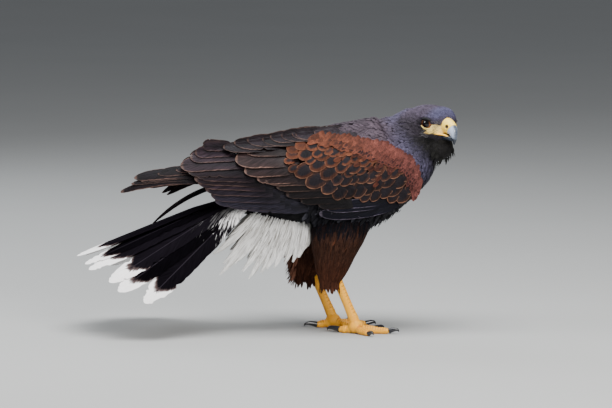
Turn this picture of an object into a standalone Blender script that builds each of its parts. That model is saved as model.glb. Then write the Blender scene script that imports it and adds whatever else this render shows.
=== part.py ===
"""Harris hawk, a still life-size model standing with its head turned to its right.

The bird faces +X, its right side is towards -Y and +Z is up. The pieces are modelled in
millimetres from the sizes below; the last section turns them into metres, with the feet on
Z = 0 and the middle of the bird's outline over the origin.
"""

import math

import bmesh
import bpy
from mathutils import Matrix, Vector

# General sizes, in millimetres.
GAP = 0.35
VANE = 0.7
METRE_PER_MM = 0.001
# The middle of the bird's outline along X, which the last step moves over the origin.
OUTLINE_MIDDLE = -100
FLESH_TRIANGLES = 1640
VOXEL = 2.2

# The trunk from the rump to the nape, as (x, z, half height up, half height down, half width).
TRUNK = (
    (-158, 158, 11, 11, 12),
    (-128, 166, 31, 26, 27),
    (-90, 173, 49, 43, 43),
    (-48, 181, 58, 56, 54),
    (-6, 188, 62, 62, 60),
    (30, 197, 60, 60, 58),
    (62, 210, 55.5, 46, 47),
    (78, 226, 48, 34, 36),
    (88, 239, 35, 26, 29),
)

# The head in its own axes: forward, to the left, up. Its middle and the way it is turned.
HEAD_CENTRE = Vector((96, -5, 248.6))
HEAD_YAW = math.radians(-52)
HEAD_PITCH = math.radians(-8)
# Sections along the head, as (forward, half width, half height up, half height down).
HEAD = (
    (-29, 11, 11, 12),
    (-24, 18.5, 17, 20),
    (-14, 23.5, 21.5, 25),
    (-2, 25, 23.6, 26),
    (9, 23.8, 23.6, 25),
    (18, 20.8, 21.8, 22),
    (25, 16.5, 18, 18),
    (30, 12, 14, 14),
    (33.5, 8, 10, 10),
)
EYE_PLACE = (15, 14.2, 5)
EYE_RADIUS = 8.2
LID_THICKNESS = 1.3
EYE_OPENING = (8.6, 5.4)
# Upper bill with the cere, as (forward, up, half height, half width) along its curved middle.
BILL = (
    (23, 4.4, 11.0, 10.5),
    (31, 4.3, 10.4, 8.8),
    (37, 3.2, 9.4, 7.0),
    (42, 0.6, 7.6, 5.4),
    (45.2, -4.0, 5.1, 3.8),
    (47.0, -9.4, 2.9, 2.3),
    (47.4, -14.4, 0.8, 0.7),
)
CERE_END = 38.0
LOWER_BILL = (
    (24, -10.0, 4.6, 7.8),
    (32, -10.2, 3.9, 6.6),
    (39, -10.8, 2.9, 4.8),
    (44, -11.6, 1.4, 2.4),
)
# Where the neck and the head start: a point and the direction that the cut faces.
NECK_CUT = (Vector((64, 0, 214)), Vector((0.86, 0, 0.51)).normalized())
HEAD_CUT = (Vector((86, -2, 237)), Vector((0.72, -0.12, 0.68)).normalized())
# The line of the mouth from its corner to the bill, in the head's axes.
GAPE = ((13, 18.5, -5.2), (20, 18.5, -5.6), (28, 14.5, -6.2), (36, 10, -6.4))

# Outer surface of the folded wing, as (x, half width, middle z, half height up, half height down).
WING_SURFACE = (
    (110, 36, 190, 58, 84),
    (84, 48, 190, 60, 86),
    (36, 67, 190, 63, 90),
    (-6, 73, 190, 61, 92),
    (-84, 68, 186, 55, 92),
    (-144, 55, 180, 50, 88),
    (-204, 44, 176, 46, 84),
    (-300, 33, 168, 42, 80),
)
SHOULDER_PAD = (
    (-80, 224), (-64, 229), (-37, 236), (-7, 238), (43, 229), (71, 214), (83, 198), (86, 181),
    (80, 166), (68, 158), (50, 162), (2, 164), (-21, 169), (-51, 182), (-72, 198), (-78, 213),
)
WING_CORE = (
    (-108, 212), (-80, 221), (-37, 232), (43, 226), (69, 212), (80, 196), (83, 181), (78, 166),
    (66, 156), (35, 148), (0, 147), (-40, 153), (-72, 160), (-98, 172), (-114, 186), (-118, 200),
)
LAYER = 1.5
STEEPEST = 0.95
CORE_DEPTHS = (11.5, 25.0)
PAD_DEPTHS = (-1.5, 14.0)

# Blade shapes: half width along a feather from root to tip, as a share of its full half width.
FEATHER = ((0.0, 0.5), (0.5, 0.97), (0.89, 0.88), (1.0, 0.42))
POINTED = ((0.0, 0.6), (0.4, 1.0), (0.84, 0.8), (1.0, 0.14))
SHORT = ((0.0, 0.6), (0.8, 1.0), (1.0, 0.3))
PLUME = ((0.0, 0.8), (0.4, 1.0), (0.75, 0.66), (1.0, 0.14))
LOCK = ((0.0, 0.9), (0.5, 1.0), (1.0, 0.16))

# Rows of the folded wing in its own (x, z): the roots and the tips, from the lowest feather to
# the highest, with half width, depth of the roots and of the blades.
SECONDARIES = {
    "roots": ((-46, 158), (-54, 166), (-62, 174), (-70, 182), (-78, 190), (-85, 198), (-90, 205)),
    "tips": ((-144, 157), (-160, 163), (-176, 172), (-190, 182), (-202, 193), (-204, 203), (-184, 210)),
    "half_width": 12.5, "sink": 15.0, "depth": 7.4, "blade": FEATHER, "bow": -3,
}
COVERTS = {
    "roots": (
        (22, 168), (2, 173), (-16, 181), (-36, 189), (-53, 198), (-66, 207), (-70, 216), (-58, 225),
    ),
    "tips": (
        (-8, 155), (-42, 158), (-74, 169), (-103, 182),
        (-126, 195), (-136, 206), (-160, 215), (-118, 226),
    ),
    "half_width": 12.5, "sink": 6.2, "depth": 1.8, "blade": SHORT, "bow": -2,
}
ALULA = {
    "roots": ((30, 167), (54, 172)),
    "tips": ((-36, 149), (-6, 153)),
    "half_width": 7.5, "sink": 7.0, "depth": 5.4, "blade": SHORT, "bow": -2,
}
PRIMARIES = {
    "roots": ((-70, 167), (-76, 173), (-82, 180), (-88, 187), (-94, 194)),
    "half_width": 9.5, "sink": 17.5, "depth": 13.8, "blade": POINTED, "bow": -2,
}
PRIMARY_TIPS = {
    "right": ((-240, 174), (-277, 166), (-271, 177), (-256, 189), (-226, 202)),
    "left": ((-214, 164), (-242, 160), (-236, 170), (-226, 179), (-212, 188)),
}
LEFT_DROOP = 0.003

# Tail: where its feathers start, its slope, how far it is fanned and arched.
TAIL_START = Vector((-112, 0, 179))
TAIL_SLOPE = math.radians(21.8)
TAIL_LENGTH = 233
TAIL_ROUNDING = 28
TAIL_FAN = math.radians(33)
TAIL_ARCH = math.radians(68)
TAIL_BASE = 31
TAIL_PAIRS = 6
TAIL_CORE = ((-14, 16, 8), (0, 27, 13), (24, 35, 12), (50, 40, 8), (72, 32, 3))

# Rows of plumes under the tail, as (place across from the right flank at -1 to the left at 1,
# how many, share of the length that they cover), and their roots' and tips' two ends in (x, z).
PLUME_ROWS = ((-1.0, 7, 1.0), (-0.1, 5, 0.95), (0.75, 4, 0.6))
PLUME_ROOTS = ((-126, 150), (-56, 140))
PLUME_TIPS = ((-156, 80), (-64, 88))
PLUME_DROP = 22

# Thigh cores as (z, x, y, half length in x, half width in y), before each leg's own offset.
THIGH = (
    (150, -8, 26, 26, 16),
    (132, -11, 30, 34, 21),
    (112, -15, 32, 31, 22),
    (92, -19, 32, 24, 18),
    (74, -22, 31, 18, 14),
    (62, -24, 31, 12, 10),
)
THIGH_SHIFT = {"right": 0, "left": -29}
# Feathers hanging over each thigh, as (height of the roots, height of the tips, how many).
THIGH_LOCKS = ((106, 64, 6), (86, 50, 5))

# Legs: hock, ankle end over the foot, and the foot's middle, for the right and the left.
LEGS = {
    "right": {"hock": (-30, -31, 100), "ankle": (6, -30, 13), "turn": math.radians(-12)},
    "left": {"hock": (-58, 31, 98), "ankle": (-21, 30, 13), "turn": math.radians(10)},
}
TARSUS_RADIUS = 5.0
# Each toe: its direction from straight ahead towards the inner side, length, radius, claw length.
TOES = (
    (math.radians(4), 42, 4.6, 19),
    (math.radians(46), 29, 4.7, 23),
    (math.radians(-48), 33, 4.2, 17),
    (math.radians(172), 21, 4.9, 25),
)

COLOURS = {
    "head": (0.085, 0.075, 0.085),
    "neck": (0.07, 0.062, 0.072),
    "torso": (0.05, 0.045, 0.052),
    "wing": (0.16, 0.065, 0.035),
    "tail": (0.02, 0.018, 0.024),
    "undertail_coverts": (0.75, 0.72, 0.66),
    "thigh": (0.14, 0.055, 0.03),
    "skin": (0.78, 0.45, 0.06),
    "claw": (0.02, 0.022, 0.03),
    "cere": (0.85, 0.66, 0.22),
    "bill": (0.32, 0.38, 0.45),
    "eye": (0.06, 0.025, 0.01),
}


def clear_scene():
    for old in list(bpy.data.objects):
        bpy.data.objects.remove(old, do_unlink=True)


def new_object(name, bm):
    bmesh.ops.recalc_face_normals(bm, faces=bm.faces)
    mesh = bpy.data.meshes.new(name)
    bm.to_mesh(mesh)
    bm.free()
    made = bpy.data.objects.new(name, mesh)
    HAWK.objects.link(made)
    return made


def apply_modifiers(thing):
    graph = bpy.context.evaluated_depsgraph_get()
    mesh = bpy.data.meshes.new_from_object(thing.evaluated_get(graph))
    thing.modifiers.clear()
    thing.data = mesh


def keep_largest(thing):
    """Leave only the largest closed surface of a mesh."""
    bm = bmesh.new()
    bm.from_mesh(thing.data)
    unseen = set(bm.verts)
    islands = []
    while unseen:
        front = [unseen.pop()]
        island = set(front)
        while front:
            for edge in front.pop().link_edges:
                for vert in edge.verts:
                    if vert in unseen:
                        unseen.remove(vert)
                        island.add(vert)
                        front.append(vert)
        islands.append(island)
    islands.sort(key=span_of)
    for island in islands[:-1]:
        bmesh.ops.delete(bm, geom=list(island), context="VERTS")
    bm.to_mesh(thing.data)
    bm.free()


def span_of(island):
    spans = [max(v.co[k] for v in island) - min(v.co[k] for v in island) for k in range(3)]
    return spans[0] * spans[1] * spans[2]


def boolean(thing, operation, others, solver="MANIFOLD"):
    """Join other closed meshes to this one, or cut them from it, and apply it."""
    helpers = bpy.data.collections.new("helpers")
    for other in others:
        helpers.objects.link(other)
    step = thing.modifiers.new("boolean", "BOOLEAN")
    step.operation = operation
    step.operand_type = "COLLECTION"
    step.collection = helpers
    step.solver = solver
    apply_modifiers(thing)
    for other in others:
        bpy.data.objects.remove(other, do_unlink=True)
    bpy.data.collections.remove(helpers)
    keep_largest(thing)
    return thing


def grown_copy(thing, amount=GAP):
    """A copy of a closed mesh swollen by the gap that touching pieces keep."""
    copy = bpy.data.objects.new(thing.name + "_grown", thing.data.copy())
    HAWK.objects.link(copy)
    swell = copy.modifiers.new("swell", "DISPLACE")
    swell.strength = amount
    swell.mid_level = 0
    apply_modifiers(copy)
    return copy


def copy_of(thing):
    copy = bpy.data.objects.new(thing.name + "_copy", thing.data.copy())
    HAWK.objects.link(copy)
    return copy


def spline(table, x):
    """A smooth row between the rows of a table whose first column falls or rises."""
    rising = table[-1][0] > table[0][0]
    rows = table if rising else table[::-1]
    x = min(max(x, rows[0][0]), rows[-1][0])
    k = max(j for j in range(len(rows) - 1) if rows[j][0] <= x)
    a, b = rows[k], rows[k + 1]
    before, after = rows[max(k - 1, 0)], rows[min(k + 2, len(rows) - 1)]
    step = b[0] - a[0]
    t = (x - a[0]) / step
    values = []
    for j in range(1, len(a)):
        slope_a = (b[j] - before[j]) / (b[0] - before[0]) * step
        slope_b = (after[j] - a[j]) / (after[0] - a[0]) * step
        values.append(
            (2 * t**3 - 3 * t**2 + 1) * a[j]
            + (t**3 - 2 * t**2 + t) * slope_a
            + (3 * t**2 - 2 * t**3) * b[j]
            + (t**3 - t**2) * slope_b
        )
    return values


def loft(name, rings):
    """A closed surface through rings of points, with each end drawn to the ring's middle."""
    bm = bmesh.new()
    rows = [[bm.verts.new(p) for p in ring] for ring in rings]
    count = len(rows[0])
    for low, high in zip(rows, rows[1:]):
        for k in range(count):
            bm.faces.new((low[k], low[(k + 1) % count], high[(k + 1) % count], high[k]))
    for row in (rows[0], rows[-1]):
        middle = bm.verts.new(sum((v.co for v in row), Vector()) / count)
        for k in range(count):
            bm.faces.new((row[k], row[(k + 1) % count], middle))
    return new_object(name, bm)


def oval(centre, side, up, half_width, half_up, half_down, count, power=2.0):
    """Points round an oval, squarer for a higher power."""
    points = []
    for k in range(count):
        turn = 2 * math.pi * k / count
        c, s = math.cos(turn), math.sin(turn)
        a = math.copysign(abs(c) ** (2 / power), c) * half_width
        b = math.copysign(abs(s) ** (2 / power), s) * (half_up if s > 0 else half_down)
        points.append(centre + side * a + up * b)
    return points


def tube(name, points, radii, sides=2):
    """A round tube of changing radius with closed ends, as a mesh."""
    curve = bpy.data.curves.new(name, "CURVE")
    curve.dimensions = "3D"
    curve.bevel_depth = 1
    curve.bevel_resolution = sides
    curve.use_fill_caps = True
    line = curve.splines.new("POLY")
    line.points.add(len(points) - 1)
    for spot, place, radius in zip(line.points, points, radii):
        spot.co = (*place, 1)
        spot.radius = radius
    guide = bpy.data.objects.new(name + "_guide", curve)
    HAWK.objects.link(guide)
    graph = bpy.context.evaluated_depsgraph_get()
    mesh = bpy.data.meshes.new_from_object(guide.evaluated_get(graph))
    bm = bmesh.new()
    bm.from_mesh(mesh)
    bmesh.ops.remove_doubles(bm, verts=bm.verts, dist=1e-4)
    bpy.data.objects.remove(guide, do_unlink=True)
    return new_object(name, bm)


def ball(name, centre, radii, segments=20, rings=12, turn=None):
    bm = bmesh.new()
    bmesh.ops.create_uvsphere(bm, u_segments=segments, v_segments=rings, radius=1)
    bmesh.ops.scale(bm, vec=radii, verts=bm.verts)
    if turn is not None:
        bmesh.ops.transform(bm, matrix=turn.to_4x4(), verts=bm.verts)
    bmesh.ops.translate(bm, vec=centre, verts=bm.verts)
    return new_object(name, bm)


def cut_by_plane(thing, point, normal):
    """Cut off what lies on the side that the normal points to, and close the cut."""
    bm = bmesh.new()
    bm.from_mesh(thing.data)
    everything = bm.verts[:] + bm.edges[:] + bm.faces[:]
    bmesh.ops.bisect_plane(
        bm, geom=everything, plane_co=point, plane_no=normal, clear_outer=True, dist=1e-5
    )
    rim = [edge for edge in bm.edges if edge.is_boundary]
    bmesh.ops.edgeloop_fill(bm, edges=rim)
    bmesh.ops.recalc_face_normals(bm, faces=bm.faces)
    bm.to_mesh(thing.data)
    bm.free()


def vane(place, root, tip, half_width, sink, depth, blade=FEATHER, bow=0.0, gaps=None,
         thickness=VANE):
    """One feather as a thin closed blade on a surface.

    place turns (a, b, depth) into a point. The shaft runs from root to tip, bowed sideways, and
    the depth runs from sink at the root to depth at the tip. The gaps are the distances to the
    next shaft at the root and at the tip, negative where the next one lies on the right: the
    blade is tilted so that each one in a row lies a layer over its neighbour, like shingles.
    """
    root, tip = Vector(root), Vector(tip)
    along = tip - root
    across = Vector((-along.y, along.x)).normalized()
    bm = bmesh.new()
    faces = []
    for face_depth in (0.0, thickness):
        rows = []
        for t, share in blade:
            middle = root + along * t + across * (bow * 4 * t * (1 - t))
            ease = min(1.0, t / 0.3)
            below = sink + (depth - sink) * ease + face_depth
            tilt = 0.0
            if gaps:
                tilt = LAYER * half_width * share / (gaps[0] + (gaps[1] - gaps[0]) * t)
            row = []
            for edge in (-1, 0, 1):
                spot = middle + across * (edge * half_width * share)
                row.append(bm.verts.new(place(spot.x, spot.y, below - edge * tilt)))
            rows.append(row)
        faces.append(rows)
    top, under = faces
    for rows, flip in ((top, False), (under, True)):
        for low, high in zip(rows, rows[1:]):
            for k in range(2):
                corner = [low[k], low[k + 1], high[k + 1], high[k]]
                for three in ((0, 1, 2), (0, 2, 3)):
                    trio = [corner[n] for n in three]
                    bm.faces.new(trio[::-1] if flip else trio)
    rim_top = [row[0] for row in top] + [top[-1][1]] + [row[2] for row in top[::-1]] + [top[0][1]]
    rim_low = [row[0] for row in under] + [under[-1][1]]
    rim_low += [row[2] for row in under[::-1]] + [under[0][1]]
    count = len(rim_top)
    for k in range(count):
        n = (k + 1) % count
        bm.faces.new((rim_top[k], rim_low[k], rim_low[n]))
        bm.faces.new((rim_top[k], rim_low[n], rim_top[n]))
    return new_object("vane", bm)


def slab(name, outline, place, outer, inner):
    """A rounded plate with a given outline on a surface, between two depths."""
    points = [Vector(p) for p in outline]
    middle = sum(points, Vector((0, 0))) / len(points)
    half = (inner - outer) / 2
    bm = bmesh.new()

    def ring(share, depth):
        spots = [middle + (p - middle) * share for p in points]
        return [bm.verts.new(place(s.x, s.y, depth)) for s in spots]

    shares = ((0.5, 1.0), (0.86, 0.86), (1.0, 0.35))
    rings = [ring(share, outer + half * (1 - full)) for share, full in shares]
    rings += [ring(share, inner - half * (1 - full)) for share, full in shares[::-1]]
    count = len(points)
    # The same diagonals on the outer and the inner face keep a thin plate from crossing itself.
    for level, (low, high) in enumerate(zip(rings, rings[1:])):
        back = level >= len(shares)
        for k in range(count):
            n = (k + 1) % count
            corners = (low[k], low[n], high[n], high[k])
            for three in ((0, 1, 3), (1, 2, 3)) if back else ((0, 1, 2), (0, 2, 3)):
                bm.faces.new([corners[c] for c in three])
    for row, depth in ((rings[0], outer), (rings[-1], inner)):
        hub = bm.verts.new(place(middle.x, middle.y, depth))
        for k in range(count):
            bm.faces.new((row[k], row[(k + 1) % count], hub))
    return new_object(name, bm)


def lerp(a, b, t):
    return [p + (q - p) * t for p, q in zip(a, b)]


def head_axes():
    forward = Vector((math.cos(HEAD_YAW), math.sin(HEAD_YAW), 0)) * math.cos(HEAD_PITCH)
    forward.z = math.sin(HEAD_PITCH)
    left = Vector((-math.sin(HEAD_YAW), math.cos(HEAD_YAW), 0))
    return forward, left, forward.cross(left)


def head_point(forward, left, up):
    f, l, u = head_axes()
    return HEAD_CENTRE + f * forward + l * left + u * up


def trunk_loft():
    rings = []
    steps = 30
    first, last = TRUNK[0][0], TRUNK[-1][0]
    for k in range(steps + 1):
        x = first + (last - first) * k / steps
        z, up, down, width = spline(TRUNK, x)
        ahead, behind = spline(TRUNK, x + 1)[0], spline(TRUNK, x - 1)[0]
        tilt = math.atan2(ahead - behind, 2)
        upright = Vector((-math.sin(tilt), 0, math.cos(tilt)))
        rings.append(oval(Vector((x, 0, z)), Vector((0, 1, 0)), upright, width, up, down, 32, 2.15))
    return loft("trunk", rings)


def head_loft():
    left, up = head_axes()[1:]
    rings = []
    steps = 18
    for k in range(steps + 1):
        along = HEAD[0][0] + (HEAD[-1][0] - HEAD[0][0]) * k / steps
        width, high, low = spline(HEAD, along)
        rings.append(oval(head_point(along, 0, 0), left, up, width, high, low, 32, 2.35))
    return loft("skull", rings)


def flesh():
    """Trunk, neck and head as one smooth closed surface."""
    forward, left, up = head_axes()
    turn = Matrix((forward, left, up)).transposed()
    throat = ball("throat", head_point(6, 0, -24), (24, 19, 17), turn=turn)
    nape = ball("nape", Vector((80, -2, 243)), (27, 26, 26))
    body = trunk_loft()
    join_meshes(body, [head_loft(), throat, nape])
    step = body.modifiers.new("voxels", "REMESH")
    step.mode = "VOXEL"
    step.voxel_size = VOXEL
    smooth = body.modifiers.new("smooth", "SMOOTH")
    smooth.factor = 0.6
    smooth.iterations = 16
    apply_modifiers(body)
    reduce = body.modifiers.new("reduce", "DECIMATE")
    reduce.ratio = FLESH_TRIANGLES / (2 * len(body.data.polygons))
    apply_modifiers(body)
    return body


def join_meshes(thing, others):
    bm = bmesh.new()
    bm.from_mesh(thing.data)
    for other in others:
        bm.from_mesh(other.data)
        bpy.data.objects.remove(other, do_unlink=True)
    bm.to_mesh(thing.data)
    bm.free()


def eye_frame(side):
    """The eye's place and the way that it looks: mostly sideways, a little forward."""
    place = head_point(EYE_PLACE[0], side * EYE_PLACE[1], EYE_PLACE[2])
    forward, left, up = head_axes()
    outward = (left * side + forward * 0.32 + up * 0.03).normalized()
    ahead = (forward - outward * forward.dot(outward)).normalized()
    upright = outward.cross(ahead)
    if upright.dot(up) < 0:
        upright.negate()
    return place, outward, ahead, upright


def carve_head(head):
    """Brow ridges, lids round almond openings and the line of the mouth."""
    added = []
    cutters = []
    for side in (1, -1):
        place, outward, ahead, upright = eye_frame(side)
        turn = Matrix((ahead, upright, outward)).transposed()
        added.append(ball("lids", place, (EYE_RADIUS + LID_THICKNESS,) * 3, 16, 8, turn))
        brow = place + outward * 2.6 + upright * 7.0 - ahead * 0.5
        added.append(ball("brow", brow, (11.5, 3.0, 4.4), 10, 6, turn))
    boolean(head, "UNION", added)
    for side in (1, -1):
        place, outward, ahead, upright = eye_frame(side)
        turn = Matrix((ahead, upright, outward)).transposed()
        cutters.append(ball("socket", place, (EYE_RADIUS + GAP,) * 3, 16, 9, turn))
        cutters.append(opening(place, outward, ahead, upright))
        path = [head_point(a, side * b, c) for a, b, c in GAPE]
        cutters.append(tube("mouth_line", path, (0.5, 0.8, 0.9, 0.9), 1))
    boolean(head, "DIFFERENCE", cutters)


def opening(place, outward, ahead, upright):
    """The almond between the lids, as a short prism that runs outward from the eye."""
    rings = []
    count = 16
    for reach in (EYE_RADIUS * 0.25, EYE_RADIUS * 2.2):
        ring = []
        for k in range(count):
            turn = 2 * math.pi * k / count
            wide = EYE_OPENING[0] * math.cos(turn)
            high = EYE_OPENING[1] * math.sin(turn) * (1 - 0.25 * math.cos(turn) ** 2)
            ring.append(place + outward * reach + ahead * wide + upright * high)
        rings.append(ring)
    return loft("opening", rings)


def bill_loft(name, table, steps, power):
    """A curved bill half: sections square to its middle line, from the face to the tip."""
    forward, left, up = head_axes()
    count = len(table)
    rows = [(k, *row) for k, row in enumerate(table)]
    rings = []
    for k in range(steps + 1):
        t = (count - 1) * k / steps
        a, b, high, wide = spline(rows, t)
        a1, b1 = spline(rows, min(t + 0.05, count - 1))[:2]
        a0, b0 = spline(rows, max(t - 0.05, 0))[:2]
        line = Vector((a1 - a0, b1 - b0)).normalized()
        upright = forward * -line.y + up * line.x
        rings.append(oval(head_point(a, 0, b), left, upright, wide, high, high, 12, power))
    return loft(name, rings)


def make_bill(head):
    forward = head_axes()[0]
    upper = bill_loft("bill_upper", BILL, 14, 2.0)
    lower = bill_loft("bill_lower", LOWER_BILL, 6, 2.3)
    boolean(lower, "DIFFERENCE", [grown_copy(upper)])
    boolean(lower, "DIFFERENCE", [grown_copy(head)])
    cere = copy_of(upper)
    cere.name = "cere"
    edge = (forward + head_axes()[2] * -0.12).normalized()
    cut_by_plane(cere, head_point(CERE_END, 0, 4), edge)
    cut_by_plane(upper, head_point(CERE_END + GAP, 0, 4), -edge)
    nostrils = []
    for side in (1, -1):
        spot = head_point(36.2, side * 7.2, 6.5)
        nostrils.append(ball("nostril", spot, (1.5, 1.5, 1.5), 8, 6))
    boolean(cere, "DIFFERENCE", nostrils + [grown_copy(head)])
    return upper, lower, cere


def wing_place(side, droop=0.0):
    """Turns (x, z, depth) on the folded wing into a point, depth under its outer surface."""

    def place(x, z, depth):
        width, middle, above, below = spline(WING_SURFACE, x)
        high = above if z > middle else below
        s = max(-STEEPEST, min(STEEPEST, (z - middle) / high))
        c = math.sqrt(1 - s * s)
        normal = Vector((0, c / width, s / high)).normalized()
        y = width * c - normal.y * depth
        sunk = z - normal.z * depth
        fall = droop * max(0.0, -140 - x) ** 2
        return Vector((x, side * y, sunk - fall))

    return place


def feather_row(place, roots, tips, half_width, sink, depth, blade, bow):
    """A row of feathers, each lying over the one below it."""
    last = len(tips) - 1
    ends = [[Vector(root), Vector(tip)] for root, tip in zip(roots, tips)]
    feathers = []
    for k, (root, tip) in enumerate(ends):
        other = ends[k + 1] if k < last else ends[k - 1]
        along = (tip - root).normalized()
        across = Vector((-along.y, along.x))
        gaps = [max(abs((o - e).dot(across)), 5.0) for o, e in zip(other, (root, tip))]
        feathers.append(vane(place, root, tip, half_width, sink, depth, blade, bow, gaps))
    return feathers


def wing_feathers(place, low_place, primary_tips):
    feathers = feather_row(low_place, tips=primary_tips, **PRIMARIES)
    for row in (SECONDARIES, COVERTS, ALULA):
        feathers += feather_row(place, **row)
    return feathers


def make_wing(side_name, body):
    side = -1 if side_name == "right" else 1
    place = wing_place(side)
    low_place = wing_place(side, LEFT_DROOP if side_name == "left" else 0.0)
    wing = slab("wing_" + side_name, WING_CORE, place, *CORE_DEPTHS)
    pieces = [slab("pad", SHOULDER_PAD, place, *PAD_DEPTHS)]
    pieces += wing_feathers(place, low_place, PRIMARY_TIPS[side_name])
    boolean(wing, "UNION", pieces)
    boolean(wing, "DIFFERENCE", [grown_copy(body)])
    return wing


def tail_place(along, arc, depth):
    """Turns (distance along the tail, arc across it, depth) into a point on the arched fan."""
    reach = TAIL_BASE + max(along, -20) * math.tan(TAIL_FAN)
    turn = TAIL_ARCH * arc / reach
    radius = reach / TAIL_ARCH
    out = (radius - depth) * math.sin(turn)
    fall = radius - (radius - depth) * math.cos(turn)
    back = Vector((-math.cos(TAIL_SLOPE), 0, -math.sin(TAIL_SLOPE)))
    down = Vector((math.sin(TAIL_SLOPE), 0, -math.cos(TAIL_SLOPE)))
    return TAIL_START + back * along + Vector((0, out, 0)) + down * fall


def tail_core():
    rings = []
    count = 16
    for along, reach, high in TAIL_CORE:
        ring = []
        for k in range(count):
            turn = 2 * math.pi * k / count
            ring.append(tail_place(along, reach * math.cos(turn), 7 - high * 0.72 * math.sin(turn)))
        rings.append(ring)
    return loft("tail", rings)


def make_tail(body):
    tail = tail_core()
    core = copy_of(tail)
    feathers = []
    for side in (1, -1):
        for k in range(TAIL_PAIRS):
            share = (k + 0.45) / (TAIL_PAIRS - 0.5)
            angle = TAIL_FAN * share
            length = TAIL_LENGTH - TAIL_ROUNDING * share**2
            start = TAIL_BASE * share
            root = (18, side * start)
            tip = (length * math.cos(angle), side * (start + length * math.sin(angle)))
            half_width = 20 - 3.5 * share
            gaps = [side * gap / TAIL_PAIRS for gap in (TAIL_BASE, TAIL_BASE + length * math.sin(TAIL_FAN))]
            depth = 3.2
            if k == 0:
                gaps = None
                depth = 1.6 if side > 0 else 0.0
            feathers.append(vane(tail_place, root, tip, half_width, 6.5, depth, FEATHER, 0, gaps))
    boolean(tail, "UNION", feathers)
    boolean(tail, "DIFFERENCE", [grown_copy(body)])
    return tail, core


def make_undertail(body, core, thighs):
    coverts = ball("undertail_coverts", (-92, 0, 138), (46, 31, 21), 16, 9)
    pieces = []
    for flank, count, covered in PLUME_ROWS:
        for k in range(count):
            share = k / (count - 1)

            def place(a, b, depth, flank=flank):
                flare = 22 * flank + flank * 0.12 * (140 - b)
                return Vector((a, flare + math.copysign(1, flank) * (4 - depth), b))

            root = lerp(PLUME_ROOTS[0], PLUME_ROOTS[1], share * covered)
            tip = lerp(PLUME_TIPS[0], PLUME_TIPS[1], share * covered)
            tip[0] += 4 * math.sin(2.1 * k + flank)
            tip[1] -= PLUME_DROP * math.sin(math.pi * min(share + 0.12, 1))
            pieces.append(vane(place, root, tip, 9.5, 8, 1, PLUME, 4, (10, 13)))
    boolean(coverts, "UNION", pieces)
    boolean(coverts, "DIFFERENCE", [grown_copy(body)])
    boolean(coverts, "DIFFERENCE", [grown_copy(core)])
    boolean(coverts, "DIFFERENCE", [grown_copy(thigh) for thigh in thighs])
    return coverts


def make_thigh(side_name, body, tarsus):
    side = -1 if side_name == "right" else 1
    shift = THIGH_SHIFT[side_name]
    rings = []
    steps = 6
    for k in range(steps + 1):
        z = THIGH[0][0] + (THIGH[-1][0] - THIGH[0][0]) * k / steps
        x, y, long, wide = spline(THIGH, z)
        centre = Vector((x + shift, side * y, z))
        rings.append(oval(centre, Vector((1, 0, 0)), Vector((0, 1, 0)), long, wide, wide, 12))
    thigh = loft("thigh_" + side_name, rings)
    pieces = []
    for tier, (top, bottom, count) in enumerate(THIGH_LOCKS):
        for k in range(count):
            turn = 2 * math.pi * (k + 0.5 * tier + 0.13) / count

            def place(a, b, depth, turn=turn):
                near = spline(THIGH, max(b, 62))
                out = Vector((math.cos(turn) / near[2], math.sin(turn) / near[3], 0)).normalized()
                across = Vector((-out.y, out.x, 0))
                ring = Vector((math.cos(turn) * near[2], math.sin(turn) * near[3], 0))
                middle = Vector((near[0] + shift, side * near[1], b))
                return middle + ring + across * a + out * (2.2 - depth)

            tip = (3 * math.sin(1.7 * k + tier), bottom + 3 * math.sin(2.3 * k))
            pieces.append(vane(place, (0, top), tip, 9.0, 6.5, 1.0, LOCK, 1.5, (14, 9), 1.4))
    boolean(thigh, "UNION", pieces)
    boolean(thigh, "DIFFERENCE", [grown_copy(body)])
    boolean(thigh, "DIFFERENCE", [grown_copy(tarsus)])
    return thigh


def make_leg(side_name):
    side = -1 if side_name == "right" else 1
    leg = LEGS[side_name]
    hock, ankle = Vector(leg["hock"]), Vector(leg["ankle"])
    steps = 7
    points = [hock.lerp(ankle, k / steps) for k in range(steps + 1)]
    shape = (1.35, 1.28, 1.08, 1.0, 0.97, 0.98, 1.06, 1.2)
    tarsus = tube("tarsus_" + side_name, points, [TARSUS_RADIUS * s for s in shape])
    line = (ankle - hock).normalized()
    seam = ankle - line * 7
    cut_by_plane(tarsus, seam, line)
    foot = ball("foot_" + side_name, ankle + Vector((1, 0, -5.0)), (9.5, 9.0, 8.6), 10, 6)
    stem = tube("stem", [ankle - line * 16, ankle + line * 2], [TARSUS_RADIUS * 1.17] * 2)
    cut_by_plane(stem, seam + line * GAP, -line)
    pieces = [stem]
    claws = []
    for number, (spread, length, radius, claw) in enumerate(TOES):
        way = leg["turn"] - side * spread
        heading = Vector((math.cos(way), math.sin(way), 0))
        start = Vector((ankle.x, ankle.y, 7.0))
        points = []
        radii = []
        count = 6
        for k in range(count):
            t = k / (count - 1)
            spot = start + heading * (length * t)
            rise = (1 - t) ** 2 * 2.5
            spot.z = radius * (0.86 - 0.08 * t) + rise
            points.append(spot)
            pad = 1 + 0.08 * math.cos(math.pi * k)
            radii.append(radius * pad * (1.1 - 0.22 * t))
        pieces.append(tube("toe", points, radii))
        end = points[-1]
        claws.append(make_claw(f"claw_{side_name}_{number + 1}", end, heading, claw, radii[-1]))
    boolean(foot, "UNION", pieces)
    cut_by_plane(foot, Vector((0, 0, 0)), Vector((0, 0, -1)))
    return tarsus, foot, claws


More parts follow.
